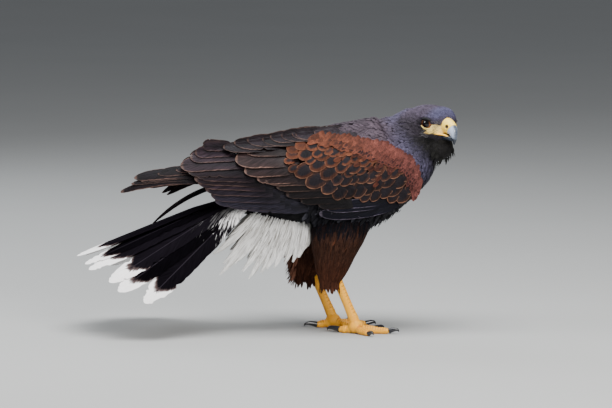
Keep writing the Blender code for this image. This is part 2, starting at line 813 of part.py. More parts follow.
def make_claw(name, end, heading, length, radius):
    """A tapering hook that rises from the toe's end and curls down to just over the floor."""
    points = []
    radii = []
    count = 7
    for k in range(count):
        t = k / (count - 1)
        turn = t * math.radians(118)
        reach = length * 0.62 * math.sin(turn * 0.78)
        rise = 2.6 * math.sin(turn * 1.25) + (1.0 - end.z) * t**2.2
        points.append(end + heading * reach + Vector((0, 0, rise)))
        radii.append(radius * 0.74 * (1 - t) ** 0.75 + 0.28)
    points.insert(0, end - heading * 2)
    radii.insert(0, radii[0])
    claw = tube(name, points, radii, 1)
    cut_by_plane(claw, end + heading * GAP, -heading)
    return claw


def finish_object(thing, colour, roughness=0.7):
    material = bpy.data.materials.new(thing.name)
    material.use_nodes = True
    shader = material.node_tree.nodes["Principled BSDF"]
    shader.inputs["Base Color"].default_value = (*colour, 1)
    shader.inputs["Roughness"].default_value = roughness
    shader.inputs["Metallic"].default_value = 0.0
    thing.data.materials.clear()
    thing.data.materials.append(material)
    thing.data.shade_smooth()
    thing.data.set_sharp_from_angle(angle=math.radians(40))


clear_scene()
HAWK = bpy.data.collections.new("harris_hawk")
bpy.context.scene.collection.children.link(HAWK)

body = flesh()
nodes = {}

thighs = []
for side_name in ("right", "left"):
    nodes[make_wing(side_name, body)] = "wing"
    tarsus, foot, claws = make_leg(side_name)
    thighs.append(make_thigh(side_name, body, tarsus))
    nodes[thighs[-1]] = "thigh"
    nodes[tarsus] = "skin"
    nodes[foot] = "skin"
    for claw in claws:
        nodes[claw] = "claw"
tail, tail_base = make_tail(body)
nodes[tail] = "tail"
nodes[make_undertail(body, tail_base, thighs)] = "undertail_coverts"
bpy.data.objects.remove(tail_base, do_unlink=True)

torso, neck, head = copy_of(body), copy_of(body), body
torso.name, neck.name, head.name = "torso", "neck", "head"
cut_by_plane(torso, NECK_CUT[0], NECK_CUT[1])
cut_by_plane(neck, NECK_CUT[0] + NECK_CUT[1] * GAP, -NECK_CUT[1])
cut_by_plane(neck, HEAD_CUT[0], HEAD_CUT[1])
cut_by_plane(head, HEAD_CUT[0] + HEAD_CUT[1] * GAP, -HEAD_CUT[1])
for piece in (torso, neck, head):
    keep_largest(piece)
carve_head(head)
upper, lower, cere = make_bill(head)
nodes.update({torso: "torso", neck: "neck", head: "head"})
nodes.update({upper: "bill", lower: "bill", cere: "cere"})
for side, side_name in ((1, "left"), (-1, "right")):
    place, outward, ahead, upright = eye_frame(side)
    turn = Matrix((ahead, upright, outward)).transposed()
    nodes[ball("eye_" + side_name, place, (EYE_RADIUS,) * 3, 12, 8, turn)] = "eye"

to_origin = Matrix.Translation((-OUTLINE_MIDDLE, 0, 0))
for thing, colour in nodes.items():
    thing.data.transform(Matrix.Scale(METRE_PER_MM, 4) @ to_origin)
    finish_object(thing, COLOURS[colour])
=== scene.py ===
import math

import bmesh
import bpy
import numpy as np
from mathutils.bvhtree import BVHTree
from mathutils.kdtree import KDTree
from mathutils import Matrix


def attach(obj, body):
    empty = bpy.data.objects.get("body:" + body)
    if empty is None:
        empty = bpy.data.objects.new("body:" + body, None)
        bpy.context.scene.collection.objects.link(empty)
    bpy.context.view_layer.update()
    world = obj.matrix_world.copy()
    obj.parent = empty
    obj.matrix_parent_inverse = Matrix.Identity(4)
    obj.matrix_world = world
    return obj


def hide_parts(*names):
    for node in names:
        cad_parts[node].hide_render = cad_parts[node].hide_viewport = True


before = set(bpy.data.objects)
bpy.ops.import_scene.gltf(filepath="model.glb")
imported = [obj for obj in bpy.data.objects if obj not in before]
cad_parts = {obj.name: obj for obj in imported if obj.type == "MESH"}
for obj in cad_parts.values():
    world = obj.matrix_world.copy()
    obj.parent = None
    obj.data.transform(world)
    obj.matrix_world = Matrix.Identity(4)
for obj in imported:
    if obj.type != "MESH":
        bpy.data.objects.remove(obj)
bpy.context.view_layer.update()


# The body under the feathers. A real bird has skin over breast muscle, neck and skull here.
# The museum model has a smooth sculpted manikin of head, neck, trunk and thighs in one piece,
# a coat's depth inside the feathers, and it carries the same colours as they do.
MM = 0.001
# Sizes are in millimetres. Rows are (x, level, height above it, below it, half width).
TRUNK = (
    (-58, 158, 11, 11, 12), (-28, 166, 31, 26, 27), (10, 173, 49, 43, 43), (52, 181, 58, 56, 54),
    (94, 188, 62, 62, 60), (130, 197, 60, 60, 58), (162, 210, 55.5, 46, 47),
    (178, 226, 48, 34, 36), (188, 239, 35, 26, 29),
)
# Rows are (ahead, half width, height above the middle, below it).
SKULL = (
    (-29, 11, 11, 12), (-24, 18.5, 17, 20), (-14, 23.5, 21.5, 25), (-2, 25, 23.6, 26),
    (9, 24.0, 24.6, 25), (18, 22.4, 25.6, 22), (24.5, 20.2, 25.2, 18), (29, 17.0, 21.6, 14),
    (32, 11.5, 14.6, 10),
)
# Rows are (level, x, y, half length, half width). The left thigh stands farther back.
THIGH = (
    (150, 92, 26, 26, 16), (132, 89, 30, 34, 21), (112, 85, 32, 31, 22), (92, 81, 32, 24, 18),
    (74, 78, 31, 18, 14), (62, 76, 31, 12, 10),
)
THIGH_SHIFT = {-1: 0, 1: -29}
HEAD_MIDDLE = np.array((196, -5, 248.6))
HEAD_TURN, HEAD_NOD = math.radians(-52), math.radians(-8)
FORWARD = np.array((
    math.cos(HEAD_TURN) * math.cos(HEAD_NOD), math.sin(HEAD_TURN) * math.cos(HEAD_NOD),
    math.sin(HEAD_NOD),
))
LEFT = np.array((-math.sin(HEAD_TURN), math.cos(HEAD_TURN), 0))
UP = np.cross(FORWARD, LEFT)
EYE_SIZE = 10.6
BILL_ROOT = HEAD_MIDDLE + 33 * FORWARD + 1 * UP


def between(table, x):
    """Smooth values between a table's rows, for one x or many."""
    rows = np.array(table, float)
    if rows[0, 0] > rows[-1, 0]:
        rows = rows[::-1]
    x = np.clip(np.asarray(x, float), rows[0, 0], rows[-1, 0])
    k = np.clip(np.searchsorted(rows[:, 0], x, side="right") - 1, 0, len(rows) - 2)
    a, b = rows[k], rows[k + 1]
    before, after = rows[np.maximum(k - 1, 0)], rows[np.minimum(k + 2, len(rows) - 1)]
    step = b[..., :1] - a[..., :1]
    t = (x[..., None] - a[..., :1]) / step
    lean_a = (b - before)[..., 1:] / (b - before)[..., :1] * step
    lean_b = (after - a)[..., 1:] / (after - a)[..., :1] * step
    return (
        (2 * t**3 - 3 * t**2 + 1) * a[..., 1:] + (t**3 - 2 * t**2 + t) * lean_a
        + (3 * t**2 - 2 * t**3) * b[..., 1:] + (t**3 - t**2) * lean_b
    )


def unit(v):
    v = np.asarray(v, float)
    return v / np.maximum(np.linalg.norm(v, axis=-1, keepdims=True), 1e-9)


def smooth(low, high, x):
    t = np.clip((np.asarray(x, float) - low) / (high - low), 0, 1)
    return t * t * (3 - 2 * t)


def full_turn(count):
    return np.arange(count) * (2 * math.pi / count)


def oval(middle, side, up, wide, high, low, count, power=2.0):
    turn = full_turn(count)
    c, s = np.cos(turn), np.sin(turn)
    a = np.sign(c) * np.abs(c) ** (2 / power) * wide
    b = np.sign(s) * np.abs(s) ** (2 / power) * np.where(s > 0, high, low)
    return middle + a[:, None] * side + b[:, None] * up


def loft(rings):
    """Points and faces of a closed surface through rings of points."""
    rings = np.asarray(rings, float)
    rows, count = rings.shape[:2]
    points = np.concatenate([rings.reshape(-1, 3), rings[:1].mean(1), rings[-1:].mean(1)])
    faces = []
    for k in range(count):
        n = (k + 1) % count
        for r in range(0, (rows - 1) * count, count):
            faces.append((r + k, r + n, r + n + count, r + k + count))
        last = (rows - 1) * count
        faces.append((n, k, rows * count))
        faces.append((last + k, last + n, rows * count + 1))
    return points, faces


def ball(middle, radii, axes=np.eye(3), count=32):
    """A closed oval ball, from rings along its third axis."""
    turns = np.linspace(0.04, math.pi - 0.04, count // 2)
    rings = []
    for turn in turns:
        level = np.array(middle) + axes[2] * (radii[2] * math.cos(turn))
        ring = math.sin(turn)
        rings.append(oval(level, axes[0], axes[1], radii[0] * ring, radii[1] * ring,
                          radii[1] * ring, count))
    return loft(rings)


def bare_mesh(name, points, faces, scale=MM):
    mesh = bpy.data.meshes.new(name)
    mesh.from_pydata((np.asarray(points) * scale).tolist(), [], [list(map(int, f)) for f in faces])
    made = bmesh.new()
    made.from_mesh(mesh)
    bmesh.ops.recalc_face_normals(made, faces=made.faces)
    made.to_mesh(mesh)
    made.free()
    return mesh


def placed(name, data):
    made = bpy.data.objects.new(name, data)
    bpy.context.scene.collection.objects.link(made)
    return made


def joined(shapes):
    points, faces, start = [], [], 0
    for some, their in shapes:
        points.append(some)
        faces += [tuple(i + start for i in face) for face in their]
        start += len(some)
    return np.concatenate(points), faces


def fused(shapes, voxel, passes):
    """Melts overlapping shapes into one even skin; gives its points, faces and normals."""
    mesh = bare_mesh("clay", *joined(shapes), scale=1)
    clay = placed("clay", mesh)
    melt = clay.modifiers.new("melt", "REMESH")
    melt.mode = "VOXEL"
    melt.voxel_size = voxel
    ease = clay.modifiers.new("ease", "SMOOTH")
    ease.factor = 0.6
    ease.iterations = passes
    graph = bpy.context.evaluated_depsgraph_get()
    done = bpy.data.meshes.new_from_object(clay.evaluated_get(graph))
    bpy.data.objects.remove(clay, do_unlink=True)
    points = np.empty(len(done.vertices) * 3)
    done.vertices.foreach_get("co", points)
    normals = np.empty(len(done.vertices) * 3)
    done.vertices.foreach_get("normal", normals)
    faces = [tuple(face.vertices) for face in done.polygons]
    return points.reshape(-1, 3), faces, normals.reshape(-1, 3)


def head_spot(forward, left, up):
    parts = np.broadcast_arrays(forward, left, up)
    return HEAD_MIDDLE + np.stack(parts, -1) @ np.stack([FORWARD, LEFT, UP])


def in_head(points):
    """The head's own forward, left and up of some points."""
    return (points - HEAD_MIDDLE) @ np.stack([FORWARD, LEFT, UP]).T


def eye_axes(side):
    middle = head_spot(15.2, side * 13.2, 6.0)
    out = unit(LEFT * side + FORWARD * 0.32 + UP * 0.03)
    ahead = unit(FORWARD - out * (FORWARD @ out))
    upright = np.cross(out, ahead)
    return middle, out, ahead, upright * np.sign(upright @ UP)


def thigh_oval(side, z):
    """One level of a thigh's skin, a millimetre inside the roots of its feathers."""
    x, y, long, wide = between(THIGH, z)
    middle = np.array((x + THIGH_SHIFT[side], side * y, z))
    return oval(middle, np.array((1, 0, 0)), np.array((0, 1, 0)), long - 1, wide - 1, wide - 1, 28)


trunk_rings = []
for x in np.linspace(TRUNK[0][0], TRUNK[-1][0], 46):
    z, high, low, wide = between(TRUNK, x)
    tilt = math.atan2(between(TRUNK, x + 1)[0] - between(TRUNK, x - 1)[0], 2)
    upright = np.array((-math.sin(tilt), 0, math.cos(tilt)))
    trunk_rings.append(oval(np.array((x, 0, z)), np.array((0, 1, 0)), upright, wide, high, low,
                            48, 2.15))
skull_rings = []
for ahead in np.linspace(SKULL[0][0], SKULL[-1][0], 30):
    wide, high, low = between(SKULL, ahead)
    skull_rings.append(oval(head_spot(ahead, 0, 0), LEFT, UP, wide, high, low, 48, 2.35))
manikin = [loft(trunk_rings), loft(skull_rings)]
manikin.append(ball(head_spot(11, 0, -23.5), (26, 20.5, 18), np.stack([FORWARD, LEFT, UP])))
manikin.append(ball((180, -2, 243), (27, 26, 26)))
for side in (-1, 1):
    middle, out, ahead, upright = eye_axes(side)
    brow = middle + out * 4.6 + upright * 6.6 + ahead * 1.0
    manikin.append(ball(brow, (11.5, 2.6, 4.8), np.stack([ahead, upright, out]), 20))
body_points, body_faces, body_normals = fused(manikin, 1.6, 8)
body_tree = BVHTree.FromPolygons(body_points.tolist(), body_faces)


def coat_depth(points):
    """How far the feathers stand off the skin: thin round the bill, deep on the body."""
    reach = np.linalg.norm(points - BILL_ROOT, axis=-1)
    return np.interp(reach, (8, 30, 60, 120), (0.5, 1.0, 2.0, 2.8))


# The crown, forehead, neck and back colours are the feathers' own dark brown, lifted and tinted blue-grey by
# painted sheen.
CROWN_GREY_SHEEN, CHEEK_GREY = (0.088, 0.070, 0.105), (0.030, 0.0245, 0.034)
THROAT_BLACK, FOREHEAD_BLUE_SHEEN = (0.0125, 0.0120, 0.0112), (0.105, 0.103, 0.190)
NECK_GREY_SHEEN, BACK_BROWN_SHEEN = (0.105, 0.094, 0.160), (0.092, 0.068, 0.088)
BREAST_SLATE, TROUSER_RUFOUS = (0.0055, 0.0055, 0.0085), (0.088, 0.031, 0.0165)
LORE_CREAM, LORE_SHADE, LID_BLACK = (0.86, 0.62, 0.20), (0.50, 0.39, 0.18), (0.004, 0.004, 0.005)


def mix(a, b, share):
    share = np.asarray(share)[..., None]
    return np.asarray(a) * (1 - share) + np.asarray(b) * share


def lores(points):
    """1 on the bare cream skin between each eye and the bill."""
    ahead, left, up = in_head(points).T
    start = 21.0 - 1.0 * np.clip(1.0 - up, 0, 7)
    mouth = np.interp(ahead, (21, 33), (-5.6, -3.6))
    inside = smooth(0, 1.5, ahead - start) * smooth(6.8, 5.4, up) * smooth(-1.0, 0.2, up - mouth)
    return inside * smooth(4, 6, np.abs(left))


def plumage(points):
    """The colour of the coat anywhere on the body."""
    ahead, left, up = in_head(points).T
    head = smooth(-10, 14, (points - (180, -2, 226)) @ (0.72, -0.12, 0.68))
    facing = unit(points - (130, 0, 205))
    # The back, neck, crown and forehead colours mixed in below carry painted blue-grey sheen over the dark
    # brown.
    trunk = mix(BREAST_SLATE, BACK_BROWN_SHEEN, smooth(-0.1, 0.6, facing[..., 2]))
    trunk = trunk * (1 - 0.4 * smooth(140, 84, points[..., 0]))[..., None]
    upper = smooth(176, 206, points[..., 2]) * smooth(0.75, 0.3, unit(points - (186, 0, 215))[..., 0])
    trunk = mix(trunk, NECK_GREY_SHEEN, smooth(140, 172, points[..., 0]) * upper)
    face = mix(CHEEK_GREY, CROWN_GREY_SHEEN, smooth(3, 16, up))
    face = mix(face, FOREHEAD_BLUE_SHEEN, smooth(12, 29, ahead) * smooth(7, 17, up))
    face = mix(face, NECK_GREY_SHEEN, smooth(-6, -20, ahead))
    face = mix(face, THROAT_BLACK, smooth(-7, -13, up) * smooth(-8, 6, ahead + np.abs(left) * -0.3))
    colour = mix(trunk, face, head)
    # Round each eye the coat darkens: partly the dark skin there, partly painted shadow under the brow.
    near = np.minimum(*[np.linalg.norm(points - eye_axes(s)[0], axis=-1) for s in (-1, 1)])
    colour = mix(colour, LID_BLACK, smooth(13.5, 10.5, near) * smooth(14, 10, up) * 0.8)
    low = smooth(134, 112, points[..., 2])
    colour = mix(colour, TROUSER_RUFOUS, low)
    # The bare lores darken toward the top: painted shade under the brow.
    bare = mix(LORE_CREAM, LORE_SHADE, smooth(-1.0, 4.5, up) * 0.55)
    return mix(colour, bare, lores(points))


class Socket:
    """A value in a finish. Sums written with it add Math nodes to that finish."""

    def __init__(self, finish, end):
        self.finish, self.end = finish, end

    def sum(self, operation, *values):
        return self.finish.node("Math", {"operation": operation}, dict(enumerate(values)))

    def __add__(self, other):
        return self.sum("ADD", self, other)

    def __radd__(self, other):
        return self.sum("ADD", other, self)

    def __sub__(self, other):
        return self.sum("SUBTRACT", self, other)

    def __rsub__(self, other):
        return self.sum("SUBTRACT", other, self)

    def __mul__(self, other):
        return self.sum("MULTIPLY", self, other)

    def __rmul__(self, other):
        return self.sum("MULTIPLY", other, self)

    def __abs__(self):
        return self.sum("ABSOLUTE", self)

    def rise(self, low, high):
        """0 up to low, 1 from high, smooth between."""
        settings = {"interpolation_type": "SMOOTHSTEP"}
        return self.finish.node("MapRange", settings, {0: self, 1: low, 2: high, 3: 0.0, 4: 1.0})


class Finish:
    """A finish being mixed: the shader's own settings first, then its changing values."""

    def __init__(self, name, **constants):
        self.material = bpy.data.materials.new(name)
        self.material.use_nodes = True
        self.tree = self.material.node_tree
        self.shader = self.tree.nodes["Principled BSDF"]
        for key, value in constants.items():
            self.shader.inputs[key.replace("_", " ")].default_value = value

    def node(self, kind, settings=None, sockets=None, out=0):
        made = self.tree.nodes.new("ShaderNode" + kind)
        for key, value in (settings or {}).items():
            setattr(made, key, value)
        for key, value in (sockets or {}).items():
            if isinstance(value, Socket):
                self.tree.links.new(value.end, made.inputs[key])
            else:
                made.inputs[key].default_value = value
        if isinstance(out, tuple):
            return [Socket(self, made.outputs[k]) for k in out]
        return Socket(self, made.outputs[out])

    def carried(self, *keys):
        """Values that the mesh carries at its points, one socket for each."""
        return [self.node("Attribute", {"attribute_name": key}, out=2) for key in keys]

    def charted(self, chart="Vane"):
        """Where a spot lies across and along its own feather, or on another chart."""
        return self.node("SeparateXYZ", sockets={0: self.node("UVMap", {"uv_map": chart})}, out=(0, 1))

    def blend(self, a, b, share):
        ends = {key: value if isinstance(value, Socket) else (*value, 1) for key, value in
                ((6, a), (7, b))}
        return self.node("Mix", {"data_type": "RGBA"}, {0: share, **ends}, 2)

    def scaled(self, colour, amount):
        return self.node("VectorMath", {"operation": "SCALE"}, {0: colour, 3: amount})

    def mottle(self, scale, detail=3.0, vector=None):
        sockets = {"Scale": scale, "Detail": detail}
        sockets["Vector"] = vector or self.node("TexCoord", out=3)
        return self.node("TexNoise", sockets=sockets)

    def use(self, colour, roughness=None, height=None, depth=0.0003):
        links = self.tree.links
        links.new(colour.end, self.shader.inputs["Base Color"])
        if roughness is not None:
            links.new(roughness.end, self.shader.inputs["Roughness"])
        if height is not None:
            sockets = {"Height": height, "Distance": depth, "Strength": 1.0}
            bump = self.node("Bump", sockets=sockets)
            links.new(bump.end, self.shader.inputs["Normal"])
        return self.material


def piece(name, mesh, material, slot, *nodes):
    """Puts a mesh in the scene as a piece that rides with the body."""
    made = placed(name, mesh)
    mesh.materials.append(material)
    mesh.shade_smooth()
    mesh.set_sharp_from_angle(angle=math.radians(55))
    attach(made, "root")
    if nodes:
        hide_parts(*nodes)


def point_colours(mesh, name, colours):
    rows = np.concatenate([colours, np.ones((len(colours), 1))], 1).astype(np.float32)
    mesh.attributes.new(name, "FLOAT_COLOR", "POINT").data.foreach_set("color", rows.ravel())


thigh_cores = []
for side in (-1, 1):
    rings = [thigh_oval(side, z) for z in np.linspace(THIGH[0][0], THIGH[-1][0], 24)]
    thigh_cores.append(loft(rings))
inner = body_points - body_normals * coat_depth(body_points)[:, None]
for side in (-1, 1):
    middle = eye_axes(side)[0]
    away = np.linalg.norm(body_points - middle, axis=-1)
    dip = 6.5 * smooth(12.0, 8.0, away)
    inner -= body_normals * dip[:, None]
skin_points, skin_faces = joined([(inner, body_faces), *thigh_cores])
skin_mesh = bare_mesh("skin", skin_points, skin_faces)
point_colours(skin_mesh, "Tint", plumage(skin_points))
skin_finish = Finish("down_skin", Roughness=0.9, Specular_IOR_Level=0.05)
grain = skin_finish.mottle(900.0)
tint = skin_finish.node("Attribute", {"attribute_name": "Tint"})
skin_material = skin_finish.use(skin_finish.scaled(tint, 0.75 + grain * 0.5), height=grain)
piece("skin", skin_mesh, skin_material, "dark_feathers", "torso", "neck", "head", "thigh_right",
      "thigh_left")


# The small feathers of head, neck, back, breast and belly. Each is a soft blade of keratin
# barbs on a shaft, rooted in the skin and lapped over the next like shingles, pointing away
# from the bill and down the body. They are laid one by one along the surface.
def feather_finish(name, rim, heart, streak=0.4, **constants):
    """Barbs, shaft, pale rim and dark heart on every blade, over its own tint, with painted shade toward its
    root where the blade above overlaps it.
    """
    finish = Finish(name, **constants)
    tint = finish.node("Attribute", {"attribute_name": "Tint"})
    rim_share, heart_share, tone = finish.carried("Rim", "Heart", "Tone")
    u, along = finish.charted()
    across = abs(u * 2 - 1)
    barb = finish.node("CombineXYZ", sockets={0: along * 26 - across * 7, 1: across * 1.3, 2: tone * 37})
    lines = finish.mottle(1.0, 2.0, barb)
    wander = finish.mottle(90.0, 2.0)
    wave = (wander - 0.5) * 0.22
    edge = (across + wave * 0.4).rise(0.84, 0.95)
    end = (along + wave * 0.1).rise(0.945, 0.975)
    rim_mask = edge.sum("MAXIMUM", edge, end) * rim_share * along.rise(0.25, 0.6)
    spread = across * across * 1.1 + (along - 0.45) * (along - 0.45) * 3.0
    heart_mask = (1 - (spread + wave).rise(0.18, 0.62)) * heart_share
    shaft = 1 - across.rise(0.03, 0.10)
    colour = finish.blend(tint, heart, heart_mask)
    colour = finish.blend(colour, rim, rim_mask)
    light = (1 - streak * 0.5) + (lines - 0.5) * (streak * 2.4) + (wander - 0.5) * 0.35
    # The last factor darkens each blade toward its root: painted shade under the blade that laps over it.
    light = light * (0.72 + tone * 0.5) * (1 - shaft * 0.35) * (0.62 + along.rise(0.0, 0.6) * 0.45)
    return finish.use(finish.scaled(colour, light), None, lines * 0.8 + shaft * 0.5, 0.00025)


def blade(t, blunt=0.8, root=0.45):
    """Half width of a feather along its length, as a share of its widest."""
    t = np.asarray(t, float)
    start = root + (1 - root) * np.sin(np.clip(t / 0.42, 0, 1) * math.pi / 2)
    close = np.clip((t - blunt) / (1 - blunt), 0, 1)
    return start * np.sqrt(np.clip(1 - close**2, 0.0004, 1))


def feathers(name, grid, normal, thick, along, tint, material, slot, chart, rim=0.0, heart=0.0,
             patch=(0.003, 0.003), nodes=(), seed=1):
    """Many blades as one piece: grid[feather, row, column] holds the points of their upper faces.

    Each blade is a closed lens whose two faces share its edge; thick is how thick it is at the
    shaft. The chart is each root's place on the unwrapped body, in the OFBake map.
    """
    count, rows, columns = grid.shape[:3]
    s = np.linspace(-1, 1, columns)
    body = np.sin(np.clip(along, 0, 1) * math.pi) ** 0.5
    sink = np.asarray(thick).reshape(-1, 1, 1) * (body[:, None] * (1 - s**2)[None])[None]
    lower = grid - np.broadcast_to(normal, grid.shape) * sink[..., None]
    inner = [(r, c) for r in range(1, rows - 1) for c in range(1, columns - 1)]
    top = np.arange(rows * columns).reshape(rows, columns)
    low = top.copy()
    for k, (r, c) in enumerate(inner):
        low[r, c] = rows * columns + k
    faces = []
    for r in range(rows - 1):
        for c in range(columns - 1):
            faces.append((top[r, c], top[r + 1, c], top[r + 1, c + 1], top[r, c + 1]))
            faces.append((low[r, c], low[r, c + 1], low[r + 1, c + 1], low[r + 1, c]))
    rr, cc = np.array(inner).T
    points = np.concatenate([grid.reshape(count, -1, 3), lower[:, rr, cc]], 1)
    size = points.shape[1]
    every = (np.array(faces)[None] + size * np.arange(count)[:, None, None]).reshape(-1, 4)
    mesh = bpy.data.meshes.new(name)
    mesh.from_pydata((points.reshape(-1, 3) * MM).tolist(), [], every.tolist())
    u = np.broadcast_to((s + 1) / 2, (rows, columns))
    v = np.broadcast_to(np.asarray(along)[:, None], (rows, columns))
    flat = np.stack([np.append(u, u[rr, cc]), np.append(v, v[rr, cc])], -1)
    corners = every.ravel()
    local = np.tile(flat, (count, 1))[corners]
    owner = corners // size
    baked = np.asarray(chart)[owner] + (local - 0.5) * patch
    mesh.uv_layers.new(name="OFBake").data.foreach_set("uv", baked.astype(np.float32).ravel())
    mesh.uv_layers.new(name="Vane").data.foreach_set("uv", local.astype(np.float32).ravel())
    tint = np.broadcast_to(tint, (count, 3))
    point_colours(mesh, "Tint", np.repeat(tint, size, 0))
    tone = np.random.default_rng(seed).random(count)
    for key, value in (("Rim", rim), ("Heart", heart), ("Tone", tone)):
        spread = np.repeat(np.broadcast_to(value, (count,)), size).astype(np.float32)
        mesh.attributes.new(key, "FLOAT", "POINT").data.foreach_set("value", spread)
    piece(name, mesh, material, slot, *nodes)


def body_chart(points):
    """Where a root lies on the body unrolled round its long axis."""
    axis_z = np.interp(points[..., 0], (-58, 52, 130, 200), (158, 181, 197, 248))
    turn = np.arctan2(points[..., 1], points[..., 2] - axis_z) / (2 * math.pi) + 0.5
    return np.stack([0.02 + 0.96 * turn, 0.02 + 0.96 * (points[..., 0] + 60) / 300], -1)


def feather_size(points):
    """Length, half width and spacing of the coat, smallest on the face."""
    reach = np.linalg.norm(points - BILL_ROOT, axis=-1)
    steps = (4, 14, 32, 60, 105, 180)
    length = np.interp(reach, steps, (3.0, 3.8, 5.6, 9.0, 14.0, 19.0))
    half = np.interp(reach, steps, (0.70, 0.85, 1.15, 1.9, 3.4, 5.0))
    gap = np.interp(reach, steps, (1.05, 1.35, 1.8, 2.6, 4.0, 5.4))
    return length, half, gap


def spaced(spots, gap):
    """The places to keep so that no two are closer than the gap, first come first kept."""
    near = KDTree(len(spots))
    for k, spot in enumerate(spots.tolist()):
        near.insert((*spot, 0)[:3], k)
    near.balance()
    free = np.ones(len(spots), bool)
    kept = []
    for k in range(len(spots)):
        if free[k]:
            kept.append(k)
            for hit in near.find_range((*spots[k], 0)[:3], gap[k]):
                free[hit[1]] = False
    return kept


def scatter(seed):
    """Roots spread evenly over the body, closer where the feathers are small."""
    rng = np.random.default_rng(seed)
    trios = np.array([three for f in body_faces for three in
                      ((f[0], f[1], f[2]), (f[0], f[2], f[-1]))[:len(f) - 2]])
    corner = body_points[trios]
    area = np.linalg.norm(np.cross(corner[:, 1] - corner[:, 0], corner[:, 2] - corner[:, 0]), axis=1) / 2
    weight = area / feather_size(corner.mean(1))[2] ** 2
    tries = rng.choice(len(trios), int(weight.sum() * 3.2), p=weight / weight.sum())
    a, b = rng.random(len(tries)), rng.random(len(tries))
    a, b = np.where(a + b > 1, 1 - a, a)[:, None], np.where(a + b > 1, 1 - b, b)[:, None]
    c = corner[tries]
    spots = c[:, 0] + a * (c[:, 1] - c[:, 0]) + b * (c[:, 2] - c[:, 0])
    return spots[spaced(spots, feather_size(spots)[2] * 0.92)]


def coat_lie(points, normals):
    """The way the feathers point: away from the bill on the head, down and back on the body."""
    head = smooth(-16, 10, (points - (186, -2, 237)) @ (0.72, -0.12, 0.68))[..., None]
    from_bill = unit(points - BILL_ROOT + UP * 3)
    way = from_bill * head + np.array((-0.9, 0, -0.42)) * (1 - head)
    way = way - normals * (way * normals).sum(-1, keepdims=True)
    return unit(way)


def traced(roots, length, steps, jitter, rng):
    """Lines that run over the body from each root, with the surface's normals along them."""
    paths, normals = [], []
    for root, long, turn in zip(roots, length, rng.normal(0, jitter, len(roots))):
        spot, normal, _, _ = body_tree.find_nearest(root.tolist())
        spot, normal = np.array(spot), np.array(normal)
        way = coat_lie(spot[None], normal[None])[0]
        way = way * math.cos(turn) + np.cross(normal, way) * math.sin(turn)
        line, lean = [spot], [normal]
        for a, b in zip(steps, steps[1:]):
            ahead = line[-1] + way * (long * (b - a))
            hit, normal, _, _ = body_tree.find_nearest(ahead.tolist())
            hit, normal = np.array(hit), np.array(normal)
            stray = hit - ahead
            line.append(ahead + stray * min(1, 1.5 * long * (b - a) / (np.linalg.norm(stray) + 1e-6)))
            normal = unit(lean[-1] + normal)
            way = unit(way - normal * (way @ normal))
            lean.append(normal)
        paths.append(line)
        normals.append(lean)
    return np.array(paths), np.array(normals)


def laid(paths, normals, half, height, camber):
    """Blades of the given half widths over traced lines, raised to the given heights."""
    tangent = unit(np.gradient(paths, axis=1))
    across = unit(np.cross(normals, tangent))
    s = np.linspace(-1, 1, 3)
    wide = half[..., None, None] * s[:, None]
    drop = half[..., None, None] * camber * s[:, None] ** 2
    middle = paths + normals * height[..., None]
    return middle[:, :, None] + across[:, :, None] * wide - normals[:, :, None] * drop


dark_coat = feather_finish("dark_plumage", (0.13, 0.11, 0.15), (0.01, 0.01, 0.012), 0.8,
                           Roughness=0.65, Specular_IOR_Level=0.10)
rng = np.random.default_rng(11)
roots = scatter(5)
covered = lores(roots) < 0.3
for side in (-1, 1):
    middle = eye_axes(side)[0]
    covered &= np.linalg.norm(roots - middle, axis=1) > 11.0
    inside = np.abs(roots[:, 1] - side * 30) < 20
    inside &= np.abs(roots[:, 0] - (86 + THIGH_SHIFT[side])) < 30
    covered &= ~(inside & (roots[:, 2] < 140))
ahead, left, up = in_head(roots).T
covered &= ~((ahead > 27.5) & (np.abs(left) < 9) & (np.abs(up - 2) < 9))
covered &= ~((ahead > 24) & (np.abs(left) < 8) & (up < -6) & (up > -14))
roots = roots[covered]
STEPS = np.array((0.0, 0.3, 0.62, 0.88, 1.0))
length, half, gap = feather_size(roots)
length *= rng.uniform(0.85, 1.15, len(roots))
paths, normals = traced(roots, length, STEPS, 0.16, rng)
depth = coat_depth(roots)
rise = np.clip(half * 0.13, 0.12, 0.6) * rng.uniform(0.6, 1.5, len(roots))
height = -depth[:, None] * 0.9 + (depth + rise)[:, None] * STEPS**0.7
width = half[:, None] * blade(STEPS, 0.55, 0.5)
grid = laid(paths, normals, width, height, 0.16)
thick = half * 0.09
chart = body_chart(roots)
tints = plumage(roots)
reach = np.linalg.norm(roots - BILL_ROOT, axis=1)
regions = {
    "face_feathers": reach < 32,
    "crown_feathers": (reach >= 32) & (reach < 62),
    "neck_feathers": (reach >= 62) & (roots[:, 0] > 140),
    "body_feathers": (reach >= 62) & (roots[:, 0] <= 140),
}
rims = np.interp(reach, (20, 60, 80), (0.3, 0.4, 0.65)) * smooth(170, 200, roots[:, 2])
for name, chosen in regions.items():
    feathers(name, grid[chosen], normals[chosen][:, :, None], thick[chosen], STEPS, tints[chosen],
             dark_coat, "dark_feathers", chart[chosen], rim=rims[chosen], seed=3)


def loose(name, spots, ways, facing, length, half, blunt, sag, tint, material, slot, chart, seed):
    """Pointed feathers that stand free of the coat and sag under their own weight."""
    t = np.array((0, 0.25, 0.5, 0.75, 0.9, 1))
    line = spots[:, None] + unit(ways)[:, None] * (length[:, None] * t)[..., None]
    line[..., 2] -= sag * length[:, None] * t**2
    way = unit(np.gradient(line, axis=1))
    across = unit(np.cross(way, np.broadcast_to(facing, spots.shape)[:, None]))
    wide = half[:, None] * blade(t, blunt, 0.7)
    grid = line[:, :, None] + across[:, :, None] * (wide[..., None, None] * np.array((-1, 0, 1))[:, None])
    lift = np.cross(across, way)
    grid[:, :, 1] += lift * (wide * 0.25)[..., None]
    feathers(name, grid, lift[:, :, None], half * 0.12, t, tint, material, slot, chart, seed=seed)


